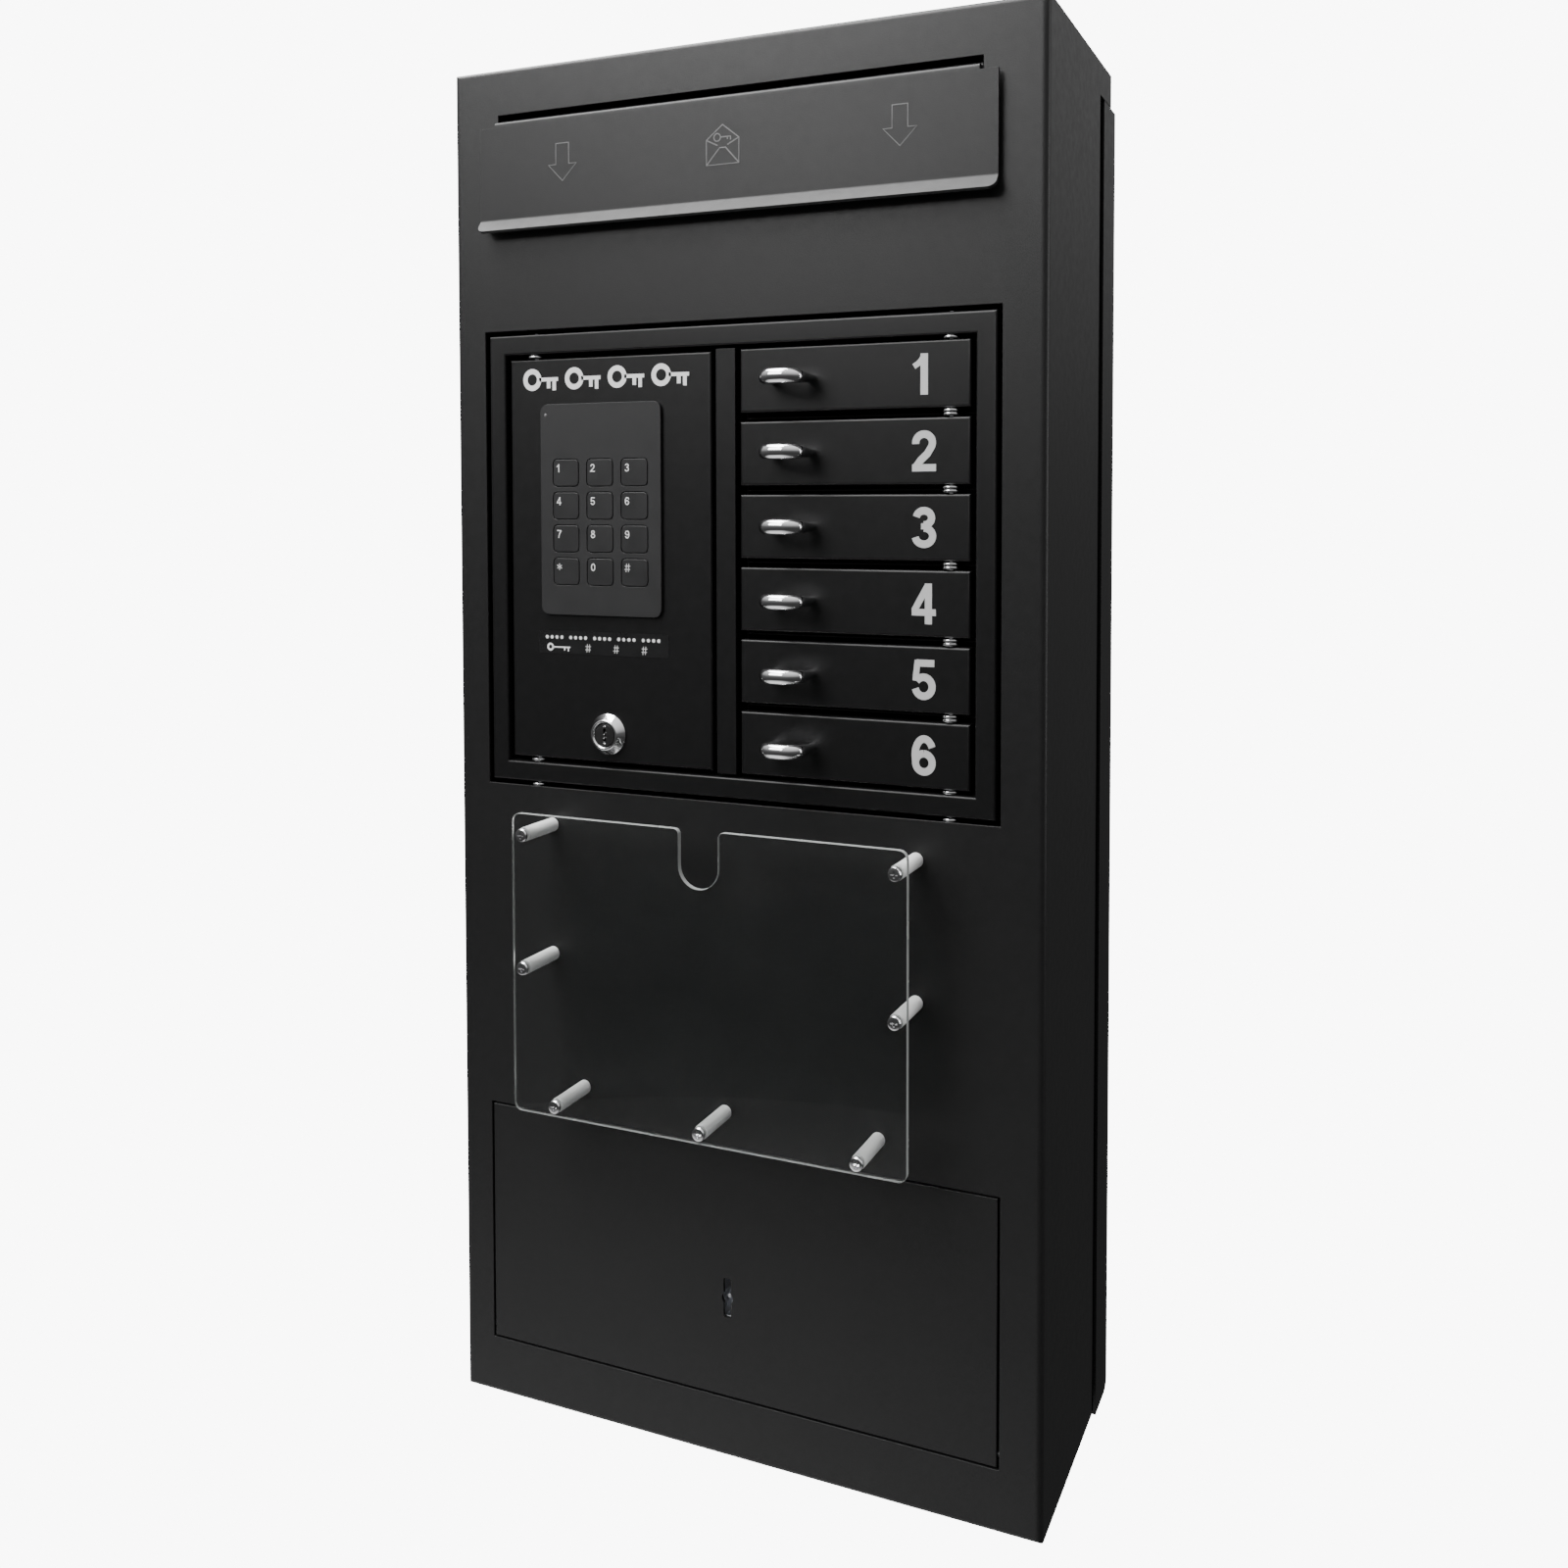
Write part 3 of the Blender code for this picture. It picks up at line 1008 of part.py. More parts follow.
def lower_lock():
    """Case on the back of the lower door, with the key pin and a bolt that rises."""
    case_front = SHEET + TOUCH_GAP
    case_low = KEYHOLE_Z - LOCK_CASE_BELOW
    case_top = case_low + LOCK_CASE_HEIGHT
    left = FACE_CENTRE - LOCK_CASE_WIDTH / 2
    bm = bmesh.new()
    add_block(bm, (left, case_front, case_low),
              (left + LOCK_CASE_WIDTH, case_front + LOCK_CASE_DEPTH, case_top))
    case = place("lower_lock_case", bm, "zinc")
    cut_block(case, (FACE_CENTRE - KEYHOLE_WIDTH / 2, 0.0, KEYHOLE_Z - KEYHOLE_HEIGHT / 2),
              (FACE_CENTRE + KEYHOLE_WIDTH / 2, KEYHOLE_DEPTH, KEYHOLE_Z + KEYHOLE_HEIGHT / 2))
    cut_cylinder(case, (FACE_CENTRE, 0.0, KEYHOLE_Z), KEYHOLE_EYE_RADIUS, 0.0, KEYHOLE_DEPTH, "Y", 20)
    pin = bmesh.new()
    add_cylinder(pin, (FACE_CENTRE, 0.0, KEYHOLE_Z), LOCK_PIN_RADIUS, case_front + LOCK_PIN_RECESS,
                 KEYHOLE_DEPTH + SHEET, "Y", 12)
    combine(case, pin, "UNION")
    bolt_y = SHEET + BOLT_DEPTH_OFFSET
    bolt_low = case_top - BOLT_TAIL
    cut_block(case, (FACE_CENTRE - BOLT_WIDTH / 2 - BOLT_CLEARANCE, bolt_y - BOLT_CLEARANCE,
                     bolt_low - BOLT_CLEARANCE),
              (FACE_CENTRE + BOLT_WIDTH / 2 + BOLT_CLEARANCE,
               bolt_y + BOLT_THICKNESS + BOLT_CLEARANCE, case_top + PAST))
    bolt = bmesh.new()
    bolt_top = LOWER_TOP - BOLT_BELOW_EDGE
    add_block(bolt, (FACE_CENTRE - BOLT_WIDTH / 2, bolt_y, bolt_low),
              (FACE_CENTRE + BOLT_WIDTH / 2, bolt_y + BOLT_THICKNESS, bolt_top))
    bevel(bolt, rim_edges(bolt, 2, bolt_top), BOLT_EDGE, 1)
    place("lower_lock_bolt", bolt, "zinc", (FACE_CENTRE, bolt_y, bolt_low))


def strike_bar():
    """Bar behind the hood that the raised bolt catches."""
    base = LOWER_TOP + LOWER_GAP + STRIKE_BAR_RISE
    back = SHEET + BOLT_DEPTH_OFFSET - BOLT_CLEARANCE
    bm = bmesh.new()
    add_block(bm, (FACE_CENTRE - STRIKE_BAR_WIDTH / 2, SHEET + TOUCH_GAP, base),
              (FACE_CENTRE + STRIKE_BAR_WIDTH / 2, back, base + STRIKE_BAR_HEIGHT))
    return place("strike_bar", bm, "zinc")


def build_cabinet():
    housing_shell()
    wall_tray()
    liner()
    drop_chute()
    inlet_baffle()
    inlet_flap()
    ear_end = EAR_SET_BACK + EAR_THICKNESS - TOUCH_GAP
    rod_along_x("flap_rod", INLET_LEFT - ear_end, INLET_RIGHT + ear_end, FLAP_AXIS_DEPTH,
                FLAP_AXIS[2], FLAP_ROD_RADIUS)
    module_case()
    compartment_rack()
    latch_rail()
    door_gaps = [door_middle(number) + DOOR_HEIGHT / 2 + DOOR_GAP / 2
                 for number in range(2, DOOR_COUNT + 1)]
    hinge_rod("hinge_rod_right", DOOR_HINGE_X, door_gaps)
    hinge_rod("hinge_rod_left", CONTROL_HINGE_X, [])
    for number in range(1, DOOR_COUNT + 1):
        small_door(number)
        bow_handle(number)
    control_door()
    keypad_body()
    keypad_keys()
    cam_lock()
    electronics()
    info_plate()
    standoffs()
    lower_door()
    rod_along_x("lower_hinge_rod", LOWER_LEFT - LOWER_GAP - ear_end,
                LOWER_RIGHT + LOWER_GAP + ear_end, LOWER_AXIS_DEPTH, LOWER_AXIS_Z, LOWER_ROD_RADIUS)
    lower_lock()
    strike_bar()


build_cabinet()
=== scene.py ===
import json
import math
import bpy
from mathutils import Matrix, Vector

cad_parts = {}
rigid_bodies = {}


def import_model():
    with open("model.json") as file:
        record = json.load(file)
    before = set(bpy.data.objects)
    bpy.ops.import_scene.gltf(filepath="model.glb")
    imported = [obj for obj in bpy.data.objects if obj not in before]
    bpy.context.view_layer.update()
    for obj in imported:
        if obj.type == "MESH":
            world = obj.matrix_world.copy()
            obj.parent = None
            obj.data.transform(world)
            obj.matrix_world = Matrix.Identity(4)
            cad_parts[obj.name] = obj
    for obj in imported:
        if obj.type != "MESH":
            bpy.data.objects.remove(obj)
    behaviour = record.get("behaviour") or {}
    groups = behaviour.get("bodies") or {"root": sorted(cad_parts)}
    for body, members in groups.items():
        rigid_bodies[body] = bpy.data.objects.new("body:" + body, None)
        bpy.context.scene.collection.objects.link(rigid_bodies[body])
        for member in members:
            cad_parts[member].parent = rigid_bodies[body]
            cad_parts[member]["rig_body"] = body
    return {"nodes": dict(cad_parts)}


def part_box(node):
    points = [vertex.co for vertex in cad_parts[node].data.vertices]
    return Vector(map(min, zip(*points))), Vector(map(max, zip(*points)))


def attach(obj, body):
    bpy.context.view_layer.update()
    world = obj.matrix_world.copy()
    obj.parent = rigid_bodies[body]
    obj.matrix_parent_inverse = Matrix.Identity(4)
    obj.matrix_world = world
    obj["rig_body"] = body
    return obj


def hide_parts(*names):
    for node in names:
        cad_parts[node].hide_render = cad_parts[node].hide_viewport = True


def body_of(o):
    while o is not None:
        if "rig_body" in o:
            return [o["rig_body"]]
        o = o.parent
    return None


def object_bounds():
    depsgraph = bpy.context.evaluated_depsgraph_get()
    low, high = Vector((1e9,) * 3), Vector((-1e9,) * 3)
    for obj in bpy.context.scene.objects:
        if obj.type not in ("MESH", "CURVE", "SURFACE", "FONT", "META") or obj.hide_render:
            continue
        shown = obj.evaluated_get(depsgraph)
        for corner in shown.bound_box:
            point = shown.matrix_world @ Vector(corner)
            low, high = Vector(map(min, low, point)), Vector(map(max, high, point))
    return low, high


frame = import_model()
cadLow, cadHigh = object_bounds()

from types import SimpleNamespace as Sizes

import bmesh
import bpy
from mathutils import Matrix, Vector

nodes = frame["nodes"]


def toScene(item):
    bpy.context.scene.collection.objects.link(item)


# camera first: a little right of the cabinet, looking back at it
viewpoint = Sizes(place=(0.3843, -0.8301, 0.1440), yaw=20.38, pitch=2.03, roll=-0.14, lens=30.19,
    shift=(-0.1000, -0.1408))
camera = bpy.data.objects.new("camera", bpy.data.cameras.new("camera"))
toScene(camera)
camera.data.sensor_width = 36
camera.data.lens = viewpoint.lens
camera.data.shift_x, camera.data.shift_y = viewpoint.shift
camera.location = viewpoint.place
camera.rotation_euler = (math.radians(90 - viewpoint.pitch), math.radians(viewpoint.roll),
                         math.radians(viewpoint.yaw))
bpy.context.scene.camera = camera


def addNode(tree, kind, values=None, **settings):
    node = tree.nodes.new("ShaderNode" + kind)
    for socket, value in (values or {}).items():
        node.inputs[socket].default_value = value
    for setting, value in settings.items():
        setattr(node, setting, value)
    return node


def greyRamp(tree, first, last, middle=(), curve="LINEAR"):
    # each stop is a place and a grey
    node = addNode(tree, "ValToRGB")
    ramp = node.color_ramp
    ramp.interpolation = curve
    ends = list(ramp.elements)
    for stop, (place, grey) in zip(ends, (first, last)):
        stop.position = place
        stop.color = (grey, grey, grey, 1)
    for place, grey in middle:
        ramp.elements.new(place).color = (grey, grey, grey, 1)
    return node


def link(tree, *pairs):
    for source, target in pairs:
        tree.links.new(source, target)


# room light: white behind everything, a bright ceiling and a dim lower half for the reflections
room = Sizes(backdrop=9.0, below=(0.35, 0.05), horizon=(0.52, 0.115), ceiling=(0.95, 1.35))
world = bpy.data.worlds.new("studio")
bpy.context.scene.world = world
world.use_nodes = True
tree = world.node_tree
tree.nodes.clear()
direction = addNode(tree, "TexCoord")
height = addNode(tree, "SeparateXYZ")
toUnit = addNode(tree, "MapRange", {"From Min": -1.0})
ramp = greyRamp(tree, room.below, room.ceiling, [room.horizon])
softLight = addNode(tree, "Background")
whiteBack = addNode(tree, "Background", {"Strength": room.backdrop, "Color": (1, 1, 1, 1)})
rays = addNode(tree, "LightPath")
pick = addNode(tree, "MixShader")
output = addNode(tree, "OutputWorld")
link(tree, (direction.outputs["Generated"], height.inputs[0]), (height.outputs["Z"], toUnit.inputs["Value"]),
     (toUnit.outputs["Result"], ramp.inputs["Fac"]), (ramp.outputs["Color"], softLight.inputs["Color"]),
     (rays.outputs["Is Camera Ray"], pick.inputs["Fac"]), (softLight.outputs[0], pick.inputs[1]),
     (whiteBack.outputs[0], pick.inputs[2]), (pick.outputs[0], output.inputs["Surface"]))

lamps = {
    "ceilingPanel": {"place": (-0.70, -0.46, 1.55), "aim": (-0.12, -0.20, 0.2), "size": (1.9, 0.8), "power": 70},
    "lipPanel": {"place": (-0.15, -0.27, 1.62), "aim": (-0.10, -0.22, 0.2), "size": (0.55, 0.4), "power": 11},
    "frontPanel": {"place": (-1.0, -2.1, 1.3), "aim": (0.0, -0.1, 0.1), "size": (1.5, 0.9), "power": 36},
    "sidePanel": {"place": (2.2, 0.3, 0.35), "aim": (0.2, -0.1, -0.1), "size": (0.8, 1.6), "power": 19},
}
for lampName, lamp in lamps.items():
    light = bpy.data.lights.new(lampName, "AREA")
    light.shape = "RECTANGLE"
    light.size, light.size_y = lamp["size"]
    light.energy = lamp["power"]
    holder = bpy.data.objects.new(lampName, light)
    holder.location = lamp["place"]
    aim = Vector(lamp["aim"]) - Vector(lamp["place"])
    holder.rotation_euler = aim.to_track_quat("-Z", "Y").to_euler()
    toScene(holder)


def noiseNode(tree, place, scale, detail, stretch=None):
    noise = addNode(tree, "TexNoise", {"Scale": scale, "Detail": detail})
    source = place.outputs["Object"]
    if stretch:
        turn = addNode(tree, "Mapping", {"Scale": stretch})
        link(tree, (source, turn.inputs["Vector"]))
        source = turn.outputs["Vector"]
    link(tree, (source, noise.inputs["Vector"]))
    return noise


def recipe(colour, roughness, grainScale, grainDepth, **more):
    # the usual values, then what this finish says
    usual = {"metallic": 0.0, "ior": 1.5, "sheen": 0.5, "clear": 0.0, "coat": 0.0, "spread": 0.12, "driftScale": 11,
             "driftDetail": 3, "wearScale": 70, "wearDetail": 4, "roughSpread": 0.15, "grainDetail": 2, "bump": 0.4,
             "coatRoughness": 0.1, "brush": None}
    return {**usual, "colour": colour, "roughness": roughness, "grainScale": grainScale, "grainDepth": grainDepth,
            **more}


def makeFinish(name, look):
    # colour drifts slowly, roughness drifts a little faster, the grain is in the bump
    material = bpy.data.materials.new(name)
    material.use_nodes = True
    tree = material.node_tree
    shader = tree.nodes["Principled BSDF"]
    for socket, key in (("Metallic", "metallic"), ("IOR", "ior"), ("Specular IOR Level", "sheen"),
                        ("Transmission Weight", "clear"), ("Coat Weight", "coat"),
                        ("Coat Roughness", "coatRoughness")):
        shader.inputs[socket].default_value = look[key]
    place = addNode(tree, "TexCoord")
    drift = noiseNode(tree, place, look["driftScale"], look["driftDetail"])
    tint = addNode(tree, "Mix", data_type="RGBA")
    for socket, way in ((6, -1), (7, 1)):
        shade = [min(1, c * (1 + way * look["spread"])) for c in look["colour"]]
        tint.inputs[socket].default_value = (*shade, 1)
    wear = noiseNode(tree, place, look["wearScale"], look["wearDetail"], look["brush"])
    rough = addNode(tree, "MapRange", {"From Min": 0.3, "From Max": 0.7,
                                       "To Min": look["roughness"] * (1 - look["roughSpread"]),
                                       "To Max": look["roughness"] * (1 + look["roughSpread"])})
    grain = noiseNode(tree, place, look["grainScale"], look["grainDetail"], look["brush"])
    bump = addNode(tree, "Bump", {"Strength": look["bump"], "Distance": look["grainDepth"]})
    link(tree, (drift.outputs["Fac"], tint.inputs[0]), (tint.outputs[2], shader.inputs["Base Color"]),
         (wear.outputs["Fac"], rough.inputs["Value"]), (rough.outputs["Result"], shader.inputs["Roughness"]),
         (grain.outputs["Fac"], bump.inputs["Height"]), (bump.outputs["Normal"], shader.inputs["Normal"]))
    return material


# colour, roughness, grain scale and depth, then whatever is unusual
finishes = {
    "hoodCoat": recipe((0.0098, 0.0098, 0.01), 0.42, 1500, 0.00012, sheen=0.27, bump=0.35, spread=0.1,
        driftScale=26, wearScale=210, roughSpread=0.07),
    "moduleCoat": recipe((0.005, 0.005, 0.0052), 0.38, 1900, 0.00009, sheen=0.26, bump=0.3, spread=0.1,
        driftScale=30, wearScale=240, roughSpread=0.07),
    "innerCoat": recipe((0.008, 0.008, 0.008), 0.6, 900, 0.0001, sheen=0.34, spread=0.2),
    "brightChrome": recipe((0.82, 0.82, 0.83), 0.07, 260, 0.00002, metallic=1.0, bump=0.15, spread=0.03,
        roughSpread=0.5),
    "plugMetal": recipe((0.1, 0.1, 0.1), 0.38, 1200, 0.00003, metallic=1.0, spread=0.2),
    "zincPlate": recipe((0.52, 0.53, 0.55), 0.33, 500, 0.00004, metallic=1.0, spread=0.15, driftScale=60,
        brush=(1, 1, 0.06)),
    "keypadFilm": recipe((0.0185, 0.0185, 0.019), 0.5, 2600, 0.00005, sheen=0.3, spread=0.08),
    "keyFilm": recipe((0.0165, 0.0165, 0.017), 0.46, 2600, 0.00005, sheen=0.3, spread=0.08),
    "darkPlastic": recipe((0.03, 0.031, 0.034), 0.5, 1100, 0.00008, spread=0.1),
    "clearSheet": recipe((0.96, 0.975, 0.97), 0.012, 30, 0.00001, clear=1.0, ior=1.49, bump=0.04, spread=0.01,
        roughSpread=0.6),
    # pale grey, part opaque: a painted highlight on the clear sheet's cut rim
    "sheetRimPaintedHighlight": recipe((0.47, 0.49, 0.48), 0.25, 300, 0.00002, clear=0.35, ior=1.49, bump=0.1, spread=0.04),
    "whiteNylon": recipe((0.93, 0.93, 0.92), 0.42, 700, 0.00006, spread=0.05),
    "silverPrint": recipe((0.52, 0.52, 0.52), 0.42, 2200, 0.00003, spread=0.05),
    "whitePrint": recipe((0.8, 0.8, 0.8), 0.5, 2200, 0.00003, spread=0.04),
    "paleEtch": recipe((0.095, 0.095, 0.095), 0.45, 2200, 0.00003, spread=0.1),
    "cellWrap": recipe((0.06, 0.07, 0.08), 0.3, 300, 0.00003, spread=0.1, coat=0.4),
    "boardGreen": recipe((0.012, 0.06, 0.03), 0.4, 900, 0.00005, spread=0.25, driftScale=90),
    "noteFilm": recipe((0.0075, 0.0075, 0.0078), 0.3, 2400, 0.00003, spread=0.1),
    "floorPaper": recipe((0.8, 0.8, 0.8), 0.9, 40, 0.0002, spread=0.01),
}
finish = {name: makeFinish(name, look) for name, look in finishes.items()}
print("finishes ready:", len(finish))

# floor, well below a cabinet that hangs on a wall: as white as the backdrop to the eye; to everything else a
# painted pool of light, pale near the middle and dark towards the rim
ground = Sizes(drop=0.95, centre=(-0.8, -0.8), radius=1.8, near=(0.15, 0.62), far=(1.0, 0.04), white=9.0,
    sides=96)


def makeFloor():
    middle = (*ground.centre, cadLow.z - ground.drop)
    floorMesh = bpy.data.meshes.new("floor")
    bm = bmesh.new()
    bmesh.ops.create_circle(bm, cap_ends=True, segments=ground.sides, radius=ground.radius,
                            matrix=Matrix.Translation(middle))
    bm.to_mesh(floorMesh)
    bm.free()
    paper = finish["floorPaper"].node_tree
    shader = paper.nodes["Principled BSDF"]
    spot = addNode(paper, "TexCoord")
    reach = addNode(paper, "VectorMath", operation="DISTANCE")
    reach.inputs[1].default_value = middle
    inUnits = addNode(paper, "Math", {1: ground.radius}, operation="DIVIDE")
    # painted pool of light: the floor's colour is bright near the middle and falls to dark at the rim, for what the
    # cabinet reflects
    paintedLightPool = greyRamp(paper, ground.near, ground.far, curve="EASE")
    eyeRays = addNode(paper, "LightPath")
    glow = addNode(paper, "Emission", {"Strength": ground.white})
    blend = addNode(paper, "MixShader")
    link(paper, (spot.outputs["Object"], reach.inputs[0]), (reach.outputs["Value"], inUnits.inputs[0]),
         (inUnits.outputs["Value"], paintedLightPool.inputs["Fac"]), (paintedLightPool.outputs["Color"], shader.inputs["Base Color"]),
         (eyeRays.outputs["Is Camera Ray"], blend.inputs["Fac"]), (shader.outputs[0], blend.inputs[1]),
         (glow.outputs[0], blend.inputs[2]),
         (blend.outputs[0], paper.nodes["Material Output"].inputs["Surface"]))
    floorMesh.materials.append(finish["floorPaper"])
    floor = bpy.data.objects.new("floor", floorMesh)
    toScene(floor)


makeFloor()

tiny = 1e-6     # two places closer than this are one
loose = 1e-5
quarter = math.pi / 2


def vertsIn(geom):
    return [part for part in geom if isinstance(part, bmesh.types.BMVert)]


def edgesIn(geom):
    return [part for part in geom if isinstance(part, bmesh.types.BMEdge)]


def facesOut(bm):
    bmesh.ops.recalc_face_normals(bm, faces=bm.faces)


def addBlock(bm, low, high):
    size = Vector(high) - Vector(low)
    matrix = Matrix.Translation((Vector(low) + Vector(high)) / 2) @ Matrix.Diagonal((*size, 1))
    return bmesh.ops.create_cube(bm, size=1, matrix=matrix)["verts"]


def facesWhere(bm, test):
    return [face for face in bm.faces if test(face.calc_center_median())]


def removeFaces(bm, test):
    bmesh.ops.delete(bm, geom=facesWhere(bm, test), context="FACES")


def rimAt(bm, index, value):
    return [edge for edge in bm.edges if all(abs(v.co[index] - value) < tiny for v in edge.verts)]


def roundEdges(bm, edges, radius, steps):
    bmesh.ops.bevel(bm, geom=edges, offset=radius, segments=steps, profile=0.5, affect="EDGES",
                    material=-1, clamp_overlap=True)


def slicePlanes(bm, index, places):
    normal = Matrix.Identity(3)[index]
    for place in places:
        everything = bm.verts[:] + bm.edges[:] + bm.faces[:]
        bmesh.ops.bisect_plane(bm, geom=everything, plane_co=normal * place, plane_no=normal)


def turnedPiece(profile, centre, axis, steps):
    # a turned shape on its own: pairs of radius and distance along the axis, spun round it
    bm = bmesh.new()
    start = [bm.verts.new((radius, 0, along)) for radius, along in profile]
    edges = [bm.edges.new(pair) for pair in zip(start, start[1:])]
    bmesh.ops.spin(bm, geom=start + edges, cent=(0, 0, 0), axis=(0, 0, 1), angle=2 * math.pi,
                   steps=steps, use_merge=True)
    bmesh.ops.remove_doubles(bm, verts=bm.verts, dist=tiny)
    facesOut(bm)
    turn = {"Z": Matrix.Identity(4), "Y": Matrix.Rotation(-quarter, 4, "X"),
            "X": Matrix.Rotation(quarter, 4, "Y")}[axis]
    bmesh.ops.transform(bm, matrix=Matrix.Translation(centre) @ turn, verts=bm.verts)
    return bm


def nearCorners(low, high, inset):
    return [(x, z) for x in (low.x + inset, high.x - inset) for z in (low.z + inset, high.z - inset)]


def easedBar(inner, outer, foot, top, ease):
    # half section of a round bar or tube, its outer corners eased, ready to be turned
    return [(inner, foot), (outer - ease, foot), (outer, foot + ease), (outer, top - ease), (outer - ease, top),
            (inner, top)]


def addForm(bm, other):
    mesh = bpy.data.meshes.new("joined")
    other.to_mesh(mesh)
    other.free()
    bm.from_mesh(mesh)
    bpy.data.meshes.remove(mesh)


def copyNode(name):
    # a CAD solid's triangles, merged, with its flat faces made whole again
    bm = bmesh.new()
    bm.from_mesh(nodes[name].data)
    bmesh.ops.remove_doubles(bm, verts=bm.verts, dist=tiny)
    bmesh.ops.dissolve_limit(bm, angle_limit=math.radians(1), verts=bm.verts, edges=bm.edges)
    return bm


def finishPiece(name, bm, look, body, replaced=(), wall=0.0, edge=0.0, smooth=True, level=False):
    mesh = bpy.data.meshes.new(name)
    bm.to_mesh(mesh)
    bm.free()
    mesh.materials.append(finish[look])
    if smooth:
        mesh.shade_smooth()
    piece = bpy.data.objects.new(name, mesh)
    toScene(piece)
    if wall:
        shell = piece.modifiers.new("wall", "SOLIDIFY")
        shell.thickness = wall
        shell.offset = -1
        shell.use_even_offset = True
    if edge:
        ease = piece.modifiers.new("edge", "BEVEL")
        ease.limit_method = "ANGLE"
        ease.angle_limit = math.radians(40)
        ease.width = edge
        ease.segments = 2
    if smooth and not (wall or edge):
        mesh.set_sharp_from_angle(angle=math.radians(38))
    if wall or edge or level:
        flat = piece.modifiers.new("flat", "WEIGHTED_NORMAL")
        flat.weight = 80
    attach(piece, body)
    if replaced:
        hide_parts(*replaced)
    return piece


# hood: folded sheet with the inlet, module and lower door cut out
hood = Sizes(wall=0.002, bend=0.0035, edge=0.0003, sideDepth=0.1136, roofBand=0.020, floorDepth=0.060,
    floorStrip=0.0045, inletWidth=0.317, inletHeight=0.0483, inletDrop=0.0287, moduleGap=0.0027, lowerGap=0.0013)
hoodLow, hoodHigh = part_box("housing_shell")
moduleLow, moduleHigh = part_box("module_case")
lowerLow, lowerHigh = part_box("lower_door")
faceCentre = (moduleLow.x + moduleHigh.x) / 2
inletTop = hoodHigh.z - hood.inletDrop
cutOuts = [
    (faceCentre - hood.inletWidth / 2, faceCentre + hood.inletWidth / 2,
     inletTop - hood.inletHeight, inletTop),
    (moduleLow.x - hood.moduleGap, moduleHigh.x + hood.moduleGap,
     moduleLow.z - hood.moduleGap, moduleHigh.z + hood.moduleGap),
    (lowerLow.x - hood.lowerGap, lowerHigh.x + hood.lowerGap,
     lowerLow.z - hood.lowerGap, lowerHigh.z + hood.lowerGap),
]


def makeHood():
    bm = bmesh.new()
    addBlock(bm, hoodLow, hoodHigh)
    roundEdges(bm, rimAt(bm, 1, hoodLow.y), hood.bend, 5)
    slicePlanes(bm, 0, [x for cut in cutOuts for x in cut[:2]])
    slicePlanes(bm, 2, [z for cut in cutOuts for z in cut[2:]])
    for left, right, base, top in cutOuts:
        removeFaces(bm, lambda c: abs(c.y - hoodLow.y) < loose and left < c.x < right and base < c.z < top)
    bandZ = hoodHigh.z - hood.roofBand
    sideY = hoodLow.y + hood.sideDepth
    floorY = hoodLow.y + hood.floorDepth
    stripX = hoodHigh.x - hood.floorStrip
    slicePlanes(bm, 2, [bandZ])
    slicePlanes(bm, 1, [sideY, floorY])
    slicePlanes(bm, 0, [-stripX, stripX])
    removeFaces(bm, lambda c: c.z < bandZ and c.y > sideY)
    removeFaces(bm, lambda c: c.z < hoodLow.z + loose and c.y > floorY and abs(c.x) < stripX)
    finishPiece("hoodShell", bm, "hoodCoat", "cabinet", ["housing_shell"],
                hood.wall, hood.edge)


def makeRodEars():
    # small plates welded behind the hood that hold the two horizontal rods
    ear = Sizes(thick=0.003, setBack=0.001, reach=0.006, edge=0.0004)
    bm = bmesh.new()
    for rodName, (left, right, base, top) in (("flap_rod", cutOuts[0]), ("lower_hinge_rod", cutOuts[2])):
        rodLow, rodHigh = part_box(rodName)
        middle = (rodLow + rodHigh) / 2
        for x, side in ((left, -1), (right, 1)):
            near = x + side * ear.setBack
            far = near + side * ear.thick
            addBlock(bm, (min(near, far), hoodLow.y + hood.wall, middle.z - ear.reach),
                     (max(near, far), middle.y + ear.reach, middle.z + ear.reach))
    finishPiece("rodEars", bm, "hoodCoat", "cabinet", (), 0, ear.edge)


makeHood()
makeRodEars()
print("hood done")


def bentProfile(corners, radius, steps):
    # corners in a plane, inner ones replaced by arcs
    points = [Vector(corners[0])]
    for before, corner, after in zip(corners, corners[1:], corners[2:]):
        corner = Vector(corner)
        back = (Vector(before) - corner).normalized()
        ahead = (Vector(after) - corner).normalized()
        half = back.angle(ahead) / 2
        if half > math.radians(89.5):
            points.append(corner)
            continue
        centre = corner + (back + ahead).normalized() * (radius / math.sin(half))
        first = (corner + back * (radius / math.tan(half)) - centre).normalized()
        last = (corner + ahead * (radius / math.tan(half)) - centre).normalized()
        for step in range(steps + 1):
            points.append(centre + first.slerp(last, step / steps) * radius)
    points.append(Vector(corners[-1]))
    return points


# inlet flap: neck, face and a lip kicked outwards
flap = Sizes(wall=0.002, bend=0.0022, standOff=0.0025, height=0.0600, lipDrop=0.0072, lipOut=0.0050,
    shoulderDrop=0.0035, shoulder=0.0100, corner=0.005, sideGap=0.0008, barrel=0.0028, barrelSides=28,
    neckLap=0.0006, arcStep=10, edge=0.0003)


